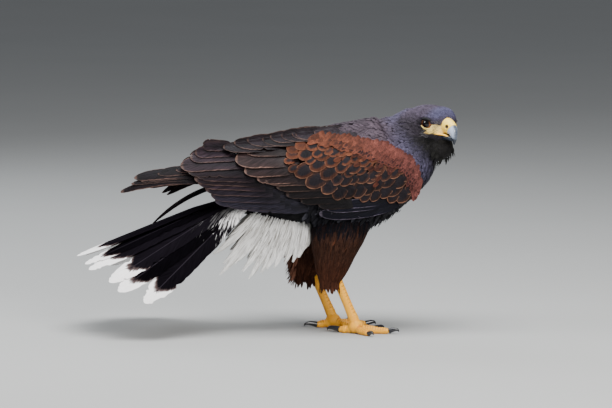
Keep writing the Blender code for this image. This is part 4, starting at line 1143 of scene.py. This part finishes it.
# The scapulars: brown-grey feathers from the back lap over the top edge of each wing.
SCAPULARS = (
    (4, 226.5, -53.6, 224.8, 7, 0), (22, 230, -40, 229.8, 8, 0), (30, 234, -24, 233, 8, 0),
    (46, 235, -5.6, 234.8, 8.5, 0), (66.4, 241, 16, 239.4, 8.5, 0), (80, 243, 34, 240.5, 8, 0),
    (100, 244, 56, 242.5, 8, 0), (118, 242, 78, 242, 7.5, 0), (44, 238, 4, 237, 7.5, 0),
    (76, 243, 30, 242, 8, 0),
)
for side, side_name in SIDES:
    rng = np.random.default_rng(70 + side)
    lowered = np.array(SCAPULARS, float) - (0, 2.5 + 2.5 * side, 0, 2.5 + 2.5 * side, 0, 0)
    blades = quill_set(side, lowered, 5.0, 1.2, 24, 0.6, 0.9, 0.03, rng)
    tint = mix((0.0070, 0.0038, 0.0056), (0.0125, 0.0074, 0.0105), rng.random(len(SCAPULARS)))
    tint = mix(tint, (0.050, 0.037, 0.048), smooth(62, 118, lowered[:, 0]))
    feathers("scapulars_" + side_name, blades[0], blades[1], 0.4, blades[2], tint, quill_coat,
             "dark_feathers", wing_chart(np.array(SCAPULARS)[:, :2]), 0.55, 0.2, (0.02, 0.02), seed=11)


# The tail. Twelve stiff black quills fan and arch from the rump, the middle pair on top, each
# with a broad white end worn brown at its border; the outer ones are white again at the root.
TAIL_ROOT = np.array((-12, 0, 179))
TAIL_SLOPE, TAIL_LENGTH, TAIL_ROUNDING = math.radians(21.8), 233, 28
TAIL_FAN, TAIL_ARCH, TAIL_BASE, TAIL_PAIRS = math.radians(33), math.radians(68), 31, 6
TAIL_ROWS = 44
# Rows are (along the tail, half width, half height).
TAIL_CORE = ((-14, 16, 8), (0, 27, 13), (24, 35, 12), (50, 40, 8), (72, 32, 3))
# How far each quill strays from an even fan, in degrees, and how much shorter it is.
STRAYS = {
    -1: ((0.6, 0), (1.6, 3), (-1.4, 0), (1.2, 4), (-1.2, -2), (0.0, 2)),
    1: ((-0.6, 2), (0.8, 0), (-0.8, 4), (0.5, 0), (-0.6, 3), (0.2, 0)),
}


def tail_spot(along, arc, depth):
    reach = TAIL_BASE + np.maximum(along, -20) * math.tan(TAIL_FAN)
    turn = TAIL_ARCH * arc / reach
    radius = reach / TAIL_ARCH
    out = (radius - depth) * np.sin(turn)
    fall = radius - (radius - depth) * np.cos(turn)
    back = np.array((-math.cos(TAIL_SLOPE), 0, -math.sin(TAIL_SLOPE)))
    down = np.array((math.sin(TAIL_SLOPE), 0, -math.cos(TAIL_SLOPE)))
    flat = np.zeros_like(out)
    return TAIL_ROOT + along[..., None] * back + np.stack([flat, out, flat], -1) + fall[..., None] * down


def faced(grids):
    """The way that each blade's upper side faces."""
    return unit(np.cross(np.gradient(grids, axis=1), np.gradient(grids, axis=2)))


tail_finish = Finish("tail_plumage", Roughness=0.55, Specular_IOR_Level=0.0)
u, along = tail_finish.charted()
tone, white_root = tail_finish.carried("Tone", "Heart")
across = abs(u * 2 - 1)
barb = tail_finish.node("CombineXYZ", sockets={0: along * 60 - across * 9, 1: across * 1.5, 2: tone * 37})
lines = tail_finish.mottle(1.0, 3.0, barb)
ragged = tail_finish.mottle(55.0, 3.0)
border = along + (lines - 0.5) * 0.07 + (ragged - 0.5) * 0.07 + across * across * 0.075 + tone * 0.04
tip = border.rise(0.888, 0.906)
brown = border.rise(0.862, 0.896) * (1 - tip)
root = (1 - (along + (lines - 0.5) * 0.9).rise(0.10, 0.26)) * white_root
white = tail_finish.blend((0.72, 0.70, 0.71), (1.0, 0.99, 0.98), lines)
black = tail_finish.blend((0.0008, 0.0007, 0.0009), (0.0058, 0.0047, 0.0068), lines)
black = tail_finish.scaled(black, 0.5 + tone)
colour = tail_finish.blend(black, (0.10, 0.072, 0.070), brown)
shaft = (1 - across.rise(0.025, 0.06)) * (1 - tip)
colour = tail_finish.blend(colour, (0.018, 0.015, 0.020), shaft * 0.8)
colour = tail_finish.blend(colour, white, tip.sum("MAXIMUM", tip, root))
tail_material = tail_finish.use(colour, None, lines + shaft, 0.0003)

rings = []
for along_core, reach, high in TAIL_CORE:
    turn = full_turn(32)
    below = 7 - (high - 1) * 0.72 * np.sin(turn)
    rings.append(tail_spot(np.full(32, float(along_core)), (reach - 1.5) * np.cos(turn), below))
mesh = bare_mesh("tail_root", *loft(rings))
point_colours(mesh, "Tint", np.tile((0.006, 0.005, 0.006), (len(mesh.vertices), 1)))
piece("tail_root", mesh, skin_material, "tail_feathers", "tail")

rng = np.random.default_rng(80)
t = np.sin(np.linspace(0, 1, TAIL_ROWS) * math.pi / 2)
s = np.linspace(-1, 1, 9)
grids, roots_white = [], []
for side in (1, -1):
    for k in range(TAIL_PAIRS):
        share = (k + 0.45) / (TAIL_PAIRS - 0.5)
        stray, shorter = STRAYS[side][k]
        angle = TAIL_FAN * share + math.radians(stray)
        length = TAIL_LENGTH - TAIL_ROUNDING * share**2 - shorter
        start = TAIL_BASE * share
        root = np.array((18, side * start))
        end = np.array((length * math.cos(angle), side * (start + length * math.sin(angle))))
        line = end - root
        side_way = unit(np.array((-line[1], line[0])))
        gap = (TAIL_BASE + (length * math.sin(TAIL_FAN)) * t) / TAIL_PAIRS
        depth, lap = 3.2, side * 1.5 / gap
        if k == 0:
            depth, lap = (1.6 if side > 0 else 0.2), 0 * t
        ragged = 1 - 0.03 * np.abs(rng.normal(0, 1, (TAIL_ROWS, 2)))
        splits = 0.2 * (rng.random((TAIL_ROWS, 2)) < 0.03)
        ragged -= splits + 0.22 * (rng.random((TAIL_ROWS, 2)) < 0.35) * (t > 0.90)[:, None]
        wide = (17.5 - 3.0 * share) * blade(t, 0.72, 0.5)
        lateral = wide[:, None] * s * np.where(s < 0, ragged[:, :1], ragged[:, 1:])
        ease = np.minimum(1, t / 0.3)
        below = (6.5 + (depth - 6.5) * ease)[:, None] - lap[:, None] * wide[:, None] * s
        spot = root + t[:, None] * line
        back = spot[:, :1] + side_way[0] * lateral
        grids.append(tail_spot(back, spot[:, 1:] + side_way[1] * lateral, below))
        roots_white.append(smooth(0.55, 0.95, share))
grids = np.array(grids)
lift = faced(grids)
cells = np.stack([0.1 + 0.16 * (np.arange(12) % 6), 0.25 + 0.5 * (np.arange(12) // 6)], 1)
feathers("tail_quills", grids, lift, 0.55, t, (0.02, 0.018, 0.024), tail_material, "tail_feathers",
         cells, 0.0, np.array(roots_white), (0.13, 0.4), seed=12)


# The plumes under the tail. Loose white feathers whose barbs don't hook together, so each hangs
# as a bunch of fine strands from the vent down past the thighs.
plume_finish = Finish("plume_down", Roughness=0.75, Specular_IOR_Level=0.3)
u, along = plume_finish.charted()
(tone,) = plume_finish.carried("Tone")
tint = plume_finish.node("Attribute", {"attribute_name": "Tint"})
spun = plume_finish.node("CombineXYZ", sockets={0: u * 9, 1: along * 2.5, 2: tone * 31})
fibre = plume_finish.mottle(1.0, 2.0, spun)
plume_light = (0.66 + fibre * 0.5) * (0.88 + tone * 0.14)
plume_material = plume_finish.use(plume_finish.scaled(tint, plume_light), None, fibre, 0.0003)

# Each plume as (root x, root z, tip x, tip z), from under the tail to the thigh.
PLUMES = (
    (-10, 147, -62, 96), (-2, 144, -52, 84), (0, 143, -55, 71), (6, 142, -37, 86),
    (11, 142, -28, 78), (17, 141, -20, 69),
    (23, 140, -6, 75), (28, 139, 2, 80), (33, 139, 11, 81), (38, 138, 23, 85), (44, 136, 31, 89),
    (48, 134, 38, 93), (51, 132, 44, 101),
)
# Each layer is (flank, share of the full length, how many of the plumes it has).
LAYERS = ((-1.0, 1.0, 13), (-0.6, 0.72, 12), (-0.1, 0.66, 11), (0.4, 0.66, 11), (0.9, 0.85, 12))
# The plume grey is painted shade: the colour of plumes lying in the shadow of others.
PLUME_WHITE, PLUME_SHADE = (0.97, 0.965, 0.955), (0.40, 0.38, 0.35)
rng = np.random.default_rng(90)


def plume_spot(flank, x, z, depth):
    flare = 22 * flank + flank * 0.12 * (140 - z)
    return np.stack([x, flare + np.copysign(1, flank) * (4 - depth) + 0 * x, z], -1)


plumes = []
for flank, share, count in LAYERS:
    for root_x, root_z, tip_x, tip_z in PLUMES[:count]:
        root = np.array((root_x, root_z), float) + rng.normal(0, 1, 2)
        tip = np.array((tip_x, tip_z), float) + rng.normal(0, 2.5 if flank > -1 else 0.8, 2)
        plumes.append((root, root + (tip - root) * share, flank))
t = np.linspace(0, 1, 16)
s = np.linspace(-1, 1, 5)
grids = []
for root, tip, flank in plumes:
    line = tip - root
    across = unit(np.array((-line[1], line[0])))
    ragged = 1 - 0.3 * rng.random((16, 1)) * (t > 0.4)[:, None]
    wide = 4.6 * blade(t, 0.15, 0.8)[:, None] * s * ragged
    middle = root + t[:, None] * line + across * (9 * t * (1 - t))[:, None]
    below = (7 - 5.5 * np.minimum(1, t / 0.3))[:, None] + s * 1.0
    grids.append(plume_spot(flank, middle[:, :1] + across[0] * wide, middle[:, 1:] + across[1] * wide, below))
grids = np.array(grids)
flanks = np.array([flank for _, _, flank in plumes])
lift = faced(grids)
lift *= np.sign(lift[..., 1:2] * flanks[:, None, None, None])
count = len(grids)
chart = np.stack([0.05 + 0.9 * np.arange(count) / count, np.full(count, 0.2)], 1)
# The blades under the strands all take the painted shade, for the shadow between the strands.
feathers("plume_blades", grids, lift, 0.4, t, PLUME_SHADE, plume_material, "white_plumes", chart,
         patch=(0.015, 0.2), nodes=("undertail_coverts",), seed=13)

steps = np.array((0, 0.35, 0.7, 1.0))
grids, place = [], []
for root, tip, flank in plumes:
    line = tip - root
    long = np.linalg.norm(line)
    way = line / long
    across = np.array((-way[1], way[0]))
    for _ in range(130):
        from_root, off = 0.84 * rng.random() ** 0.8, rng.uniform(-1, 1)
        size = min(rng.uniform(12, 24), long * (1.02 - from_root))
        splay = off * rng.uniform(0.0, 0.22) * (1 - from_root) + rng.normal(0, 0.03)
        reach = from_root + steps * size / long
        off_line = off * 5.0 * np.clip(1 - reach**3, 0, 1) ** 0.8 + 9 * reach * (1 - reach)
        path = root + np.outer(reach, line) + np.outer(off_line + steps**1.6 * size * splay, across)
        start = path[0]
        wide = rng.uniform(0.32, 0.66) * np.array((0.8, 1, 0.75, 0.1))
        below = rng.uniform(-1.8, 1.0) + 2.0 * (1 - steps)
        lateral = wide[:, None] * np.array((-1, 0, 1))
        grids.append(plume_spot(flank, path[:, :1] + across[0] * lateral, path[:, 1:] + across[1] * lateral,
                                np.broadcast_to(below[:, None], (4, 3))))
        place.append((start[0], start[1], flank, abs(off)))
grids, place = np.array(grids), np.array(place)
lift = faced(grids)
lift *= np.sign(lift[..., 1:2] * place[:, 2][:, None, None, None])
chart = np.stack([0.5 + 0.42 * place[:, 2] + place[:, 0] * 0.0008, 0.1 + 0.8 * (place[:, 1] - 50) / 110], 1)
# Strands get a random grey, and more at the edges of each plume and in the inner layers: painted shade
# between and behind the plumes.
shade = rng.random(len(place)) ** 2 * 0.4 + 0.6 * smooth(0.6, 1.0, place[:, 3])
shade = np.where(place[:, 2] > -0.9, 0.75, shade)
feathers("plume_strands", grids, lift, 0.3, steps, mix(PLUME_WHITE, PLUME_SHADE, shade), plume_material,
         "white_plumes", chart, seed=14)


# The trousers. Long rust-brown feathers hang round each thigh over the hock, shaggy at the hem,
# with blue-grey belly tufts over their tops.
trouser_coat = feather_finish("trouser_plumage", (0.13, 0.042, 0.020), (0.01, 0.006, 0.005), 0.8,
                              Roughness=0.75, Specular_IOR_Level=0.06)
TROUSER_DARK, TUFT_PALE_LIT, TUFT_DARK = (0.044, 0.0155, 0.0090), (0.36, 0.155, 0.100), (0.110, 0.042, 0.026)
TUFTS = 110
t = np.array((0, 0.2, 0.45, 0.7, 0.88, 1.0))
s = np.linspace(-1, 1, 3)
for side, side_name in SIDES:
    rng = np.random.default_rng(100 + side)
    levels, turns = [], []
    for z in np.arange(150, 60, -3.4):
        x, y, long, wide = between(THIGH, z)
        count = int(2 * math.pi * (long + wide) / 2 / 4.4)
        levels.append(z + rng.uniform(-1.6, 1.6, count))
        turns.append((np.arange(count) + rng.uniform(-0.4, 0.4, count)) * 2 * math.pi / count)
    levels, turns = np.concatenate(levels), np.concatenate(turns)
    length = rng.uniform(16, 23, len(levels))
    length = np.minimum(length, levels - rng.uniform(45, 58, len(levels)))
    half = rng.uniform(1.3, 2.6, len(levels))
    z = levels[:, None] - length[:, None] * t
    x, y, long, wide = np.moveaxis(between(THIGH, np.maximum(z, 62)), -1, 0)
    out = unit(np.stack([np.cos(turns)[:, None] / long, np.sin(turns)[:, None] / wide, 0 * z], -1))
    middle = np.stack([x + THIGH_SHIFT[side] + np.cos(turns)[:, None] * long,
                       side * (y + np.sin(turns)[:, None] * wide), z], -1)
    out[..., 1] *= side
    curl = rng.normal(0, 0.06, len(levels))[:, None] * (z - levels[:, None])
    across = np.cross(out, (0, 0, -1.0))
    middle = middle + across * curl[..., None] + out * (-1.2 + 3.0 * t**0.8 - 1.2 * t**4)[:, None]
    width = half[:, None] * blade(t, 0.15, 0.7)
    grid = middle[:, :, None] + across[:, :, None] * (width[..., None, None] * s[:, None])
    grid = grid - out[:, :, None] * (width[..., None, None] * 0.3 * s[:, None] ** 2)
    top = smooth(122, 142, levels + rng.normal(0, 5, len(levels)))
    tint = mix(mix(TROUSER_RUFOUS, TROUSER_DARK, rng.random(len(levels)) * 0.9), BREAST_SLATE, top)
    tint *= mix((1, 1, 1), (0.66, 0.80, 0.90), smooth(84, 112, levels))
    chart = np.stack([0.03 + 0.94 * turns / (2 * math.pi), 0.03 + 0.94 * (levels - 55) / 100], 1) % 1.0
    feathers("trousers_" + side_name, grid, out[:, :, None], half * 0.1, t, tint, trouser_coat,
             "rufous_feathers", chart, 0.3, 0.1, seed=15)

# Looser tufts fluff out the rear of the left thigh, where the wind lifts them.
rng = np.random.default_rng(120)
z = rng.uniform(62, 106, TUFTS)
turn = math.pi + rng.normal(0, 0.3, TUFTS)
x, y, long, wide = np.moveaxis(between(THIGH, z), -1, 0)
spots = np.stack([x + THIGH_SHIFT[1] + np.cos(turn) * (long - 1.5), y + np.sin(turn) * (wide - 1.5), z], 1)
out = unit(np.stack([np.cos(turn) / long, np.sin(turn) / wide, 0 * z], 1))
ways = out * 0.5 + (0, 0, -1) + rng.normal(0, 0.10, (TUFTS, 3)) * (1, 0.6, 1)
# The tufts are tinted much paler than the trousers: partly their own pale rufous, partly painted light on the
# shaded rear of the thigh.
tint = mix(TUFT_PALE_LIT, TUFT_DARK, rng.random(TUFTS))
chart = np.stack([0.03 + 0.94 * turn / (2 * math.pi), 0.03 + 0.94 * (z - 55) / 100], 1) % 1.0
size = np.minimum(rng.uniform(14, 21, TUFTS), z - 46)
loose("trouser_tufts", spots, ways, out, size, rng.uniform(1.4, 2.6, TUFTS), 0.15, -0.1, tint,
      trouser_coat, "rufous_feathers", chart, 16)


# The legs. Tarsus and toes are yellow skin in overlapping horny plates, broad across the front
# of the shank and the tops of the toes and pebbled behind, with soft pads under each joint.
LEGS = {
    -1: {"hock": (70, -31, 100), "ankle": (106, -30, 13), "turn": math.radians(-12)},
    1: {"hock": (42, 31, 98), "ankle": (79, 30, 13), "turn": math.radians(10)},
}
SHANK_RADIUS, SHANK_PLATE, TOE_PLATE = 5.5, 4.3, 3.1
# The shank's radius along its length, as a share.
SHANK = ((0, 1.35), (0.14, 1.28), (0.3, 1.08), (0.45, 1.0), (0.6, 0.97), (0.75, 0.98), (0.88, 1.06), (1, 1.2))
# Each toe is (turn from the leg's heading, reach, radius, length of its claw).
TOES = (
    (math.radians(4), 42, 4.6, 19), (math.radians(46), 29, 4.7, 23),
    (math.radians(-48), 33, 4.2, 17), (math.radians(172), 21, 4.9, 25),
)
leg_finish = Finish("leg_skin", Roughness=0.42, Subsurface_Weight=0.06)
(shade,) = leg_finish.carried("Shade")
pebble = leg_finish.node("TexVoronoi", {"feature": "DISTANCE_TO_EDGE"},
                         {"Vector": leg_finish.node("TexCoord", out=3), "Scale": 620.0})
blush = leg_finish.mottle(160.0)
leg_colour = leg_finish.blend((1.0, 0.41, 0.006), (1.0, 0.50, 0.030), blush)
leg_colour = leg_finish.blend(leg_colour, (0.60, 0.17, 0.005), (1 - pebble.rise(0.0, 0.07)) * 0.45)
# The skin darkens in the creases between its plates: painted shade.
leg_colour = leg_finish.blend(leg_colour, (0.50, 0.14, 0.005), shade)
leg_material = leg_finish.use(leg_colour, None, pebble.rise(0.0, 0.12), 0.00025)
claw_material = horn_finish("talon_horn", (0.008, 0.009, 0.013), (0.002, 0.0025, 0.004), (0.2, 0.8))

for side, side_name in SIDES:
    leg = LEGS[side]
    hock, ankle = np.array(leg["hock"], float), np.array(leg["ankle"], float)
    line = unit(ankle - hock)
    long = np.linalg.norm(ankle - hock)
    front = unit(np.array((1, 0, 0)) - line * line[0])
    flank = np.cross(line, front)
    rings, shades = [], []
    for t in np.linspace(0.12, 0.955, 150):
        share = between(SHANK, t)[0] * SHANK_RADIUS
        phase = (t * long / SHANK_PLATE) % 1.0
        ring = oval(hock + line * (t * long), front, flank, share, share * 0.92, share * 0.92, 32)
        turn = full_turn(32)
        plate = smooth(0.1, 0.5, np.cos(turn))
        # The creases between the front plates of the shank are marked for painted shade.
        crease = smooth(0.2, 0.0, phase) + smooth(0.86, 1.0, phase)
        lift = plate * (0.3 * (phase - 0.4) - 0.28 * crease)
        rings.append(ring + (np.outer(np.cos(turn), front) + np.outer(np.sin(turn), flank)) * lift[:, None])
        shades.append(plate * crease * 0.95)
    points, faces = loft(rings)
    mesh = bare_mesh("shank_" + side_name, points, faces)
    shaded(mesh, np.append(np.concatenate(shades), (0, 0)))
    piece("shank_" + side_name, mesh, leg_material, "leg_skin", "tarsus_" + side_name)

    shapes = [ball(ankle + (1, 0, -5.0), (9.5, 9.0, 8.6))]
    stem = [oval(ankle + line * d, front, flank, 5.9, 5.7, 5.7, 24) for d in np.linspace(-9, 2, 6)]
    shapes.append(loft(stem))
    toe_lines = []
    for number, (spread, reach, radius, claw) in enumerate(TOES):
        way = leg["turn"] - side * spread
        heading = np.array((math.cos(way), math.sin(way), 0))
        flat = np.cross(heading, (0, 0, 1))
        rings, spots = [], []
        for t in np.linspace(0, 1, 40):
            spot = np.array((ankle[0], ankle[1], 0)) + heading * (reach * t)
            spot[2] = radius * (0.86 - 0.08 * t) + (1 - t) ** 2 * 2.5
            pads = 1 + 0.09 * math.cos(2 * math.pi * (t * (2 + number % 2) + 0.1))
            close = 1 - 0.26 * smooth(0.76, 1.0, t)
            dome = math.sqrt(max(1 - max(0, (t - 0.9) / 0.1) ** 2, 0.05))
            size = radius * pads * close * (1.1 - 0.22 * t) * dome
            rings.append(oval(spot, flat, np.array((0, 0, 1.0)), size, size, size, 24))
            spots.append(spot)
        shapes.append(loft(rings))
        toe_lines.append((np.array(spots), heading, radius))

        end = spots[-1]
        size = radius * pads * 0.88
        rings, mids = [], []
        for t in np.linspace(0, 1, 30):
            turn = t * math.radians(118)
            ahead = claw * 0.62 * math.sin(turn * 0.78)
            rise = 2.6 * math.sin(turn * 1.25) + (1.0 - end[2]) * t**2.2
            mids.append(end + heading * (ahead - 1.2) + (0, 0, rise))
        mids = np.array(mids)
        lean = unit(np.gradient(mids, axis=0))
        for t, spot, tangent in zip(np.linspace(0, 1, 30), mids, lean):
            thick = size * 0.72 * (1 - t) ** 0.75 + 0.22
            rings.append(oval(spot, flat, np.cross(tangent, flat), thick * 0.86, thick, thick, 20))
        points, faces = loft(rings)
        mesh = bare_mesh(f"talon_{side_name}_{number + 1}", points, faces)
        shaded(mesh, np.append(np.repeat(np.linspace(0, 1, 30), 20), (0, 1)))
        piece(f"talon_{side_name}_{number + 1}", mesh, claw_material, "claw_horn",
              f"claw_{side_name}_{number + 1}")
    points, faces, normals = fused(shapes, 0.75, 4)
    rise = smooth(-0.1, 0.6, normals[:, 2])
    shade = np.zeros(len(points))
    for spots, heading, radius in toe_lines:
        along = (points - spots[0]) @ heading
        level = np.outer(points[:, 2] - spots[0][2], (0, 0, 1))
        off = np.linalg.norm(points - spots[0] - np.outer(along, heading) - level, axis=1)
        on_toe = smooth(radius * 1.25, radius * 1.0, off) * smooth(6, 9, along)
        phase = (along / TOE_PLATE) % 1.0
        # The creases between the plates of the toes are marked for painted shade.
        crease = smooth(0.28, 0.0, phase) + smooth(0.8, 1.0, phase)
        points = points + normals * (on_toe * rise * (0.35 * (phase - 0.4) - 0.3 * crease))[:, None]
        shade = np.maximum(shade, on_toe * rise * crease * 0.9)
    points[:, 2] = np.maximum(points[:, 2], 0.0)
    mesh = bare_mesh("foot_skin_" + side_name, points, faces)
    shaded(mesh, shade)
    piece("foot_skin_" + side_name, mesh, leg_material, "leg_skin", "foot_" + side_name)


# The floor is a plain pale matt sweep. Broad soft lamps stand overhead, in front and behind, a
# small one puts the glint in the eye, and the camera looks from the bird's right, a little
# above it, through a long lens.
floor_mesh = bpy.data.meshes.new("floor")
floor_mesh.from_pydata([(-9, -4, 0), (9, -4, 0), (9, 12, 0), (-9, 12, 0)], [], [(0, 1, 2, 3)])
floor = placed("floor", floor_mesh)
floor_finish = Finish("floor_paper", Roughness=0.9)
cloud = floor_finish.mottle(3.0)
floor_colour = floor_finish.blend((0.345, 0.35, 0.345), (0.37, 0.375, 0.37), cloud)
floor_mesh.materials.append(floor_finish.use(floor_colour))

world = bpy.data.worlds.new("studio")
world.use_nodes = True
world.node_tree.nodes["Background"].inputs["Color"].default_value = (0.80, 0.84, 0.90, 1)
world.node_tree.nodes["Background"].inputs["Strength"].default_value = 0.28
bpy.context.scene.world = world


def lamp(name, place, target, size, watts, colour=(1, 1, 1)):
    light = bpy.data.lights.new(name, "AREA")
    light.size = size
    light.energy = watts
    light.color = colour
    made = placed(name, light)
    made.location = place
    toward = np.array(target) - place
    yaw = math.atan2(toward[1], toward[0])
    tilt = math.acos(toward[2] / np.linalg.norm(toward))
    made.rotation_euler = (math.pi - tilt, 0, yaw - math.pi / 2)


BIRD_MIDDLE = (0.05, 0, 0.15)
lamp("overhead", (0.1, -0.45, 1.9), BIRD_MIDDLE, 1.2, 74)
lamp("front_fill", (0.9, -2.0, 0.9), BIRD_MIDDLE, 1.0, 58, (1, 0.97, 0.93))
lamp("rim", (-0.7, 1.5, 1.3), BIRD_MIDDLE, 1.0, 16, (0.9, 0.95, 1))
lamp("eye_light", (-1.1, -0.25, 0.62), (0.2, -0.02, 0.25), 0.34, 5.5)

camera_data = bpy.data.cameras.new("camera")
camera_data.lens = 294
camera_data.sensor_width = 36
camera = placed("camera", camera_data)
lift, away = math.radians(6), 6
look_x, look_z = 0.0472, 0.1525
camera.location = (look_x, -away * math.cos(lift), look_z + away * math.sin(lift))
camera.rotation_euler = (math.pi / 2 - lift, 0, 0)
bpy.context.scene.camera = camera
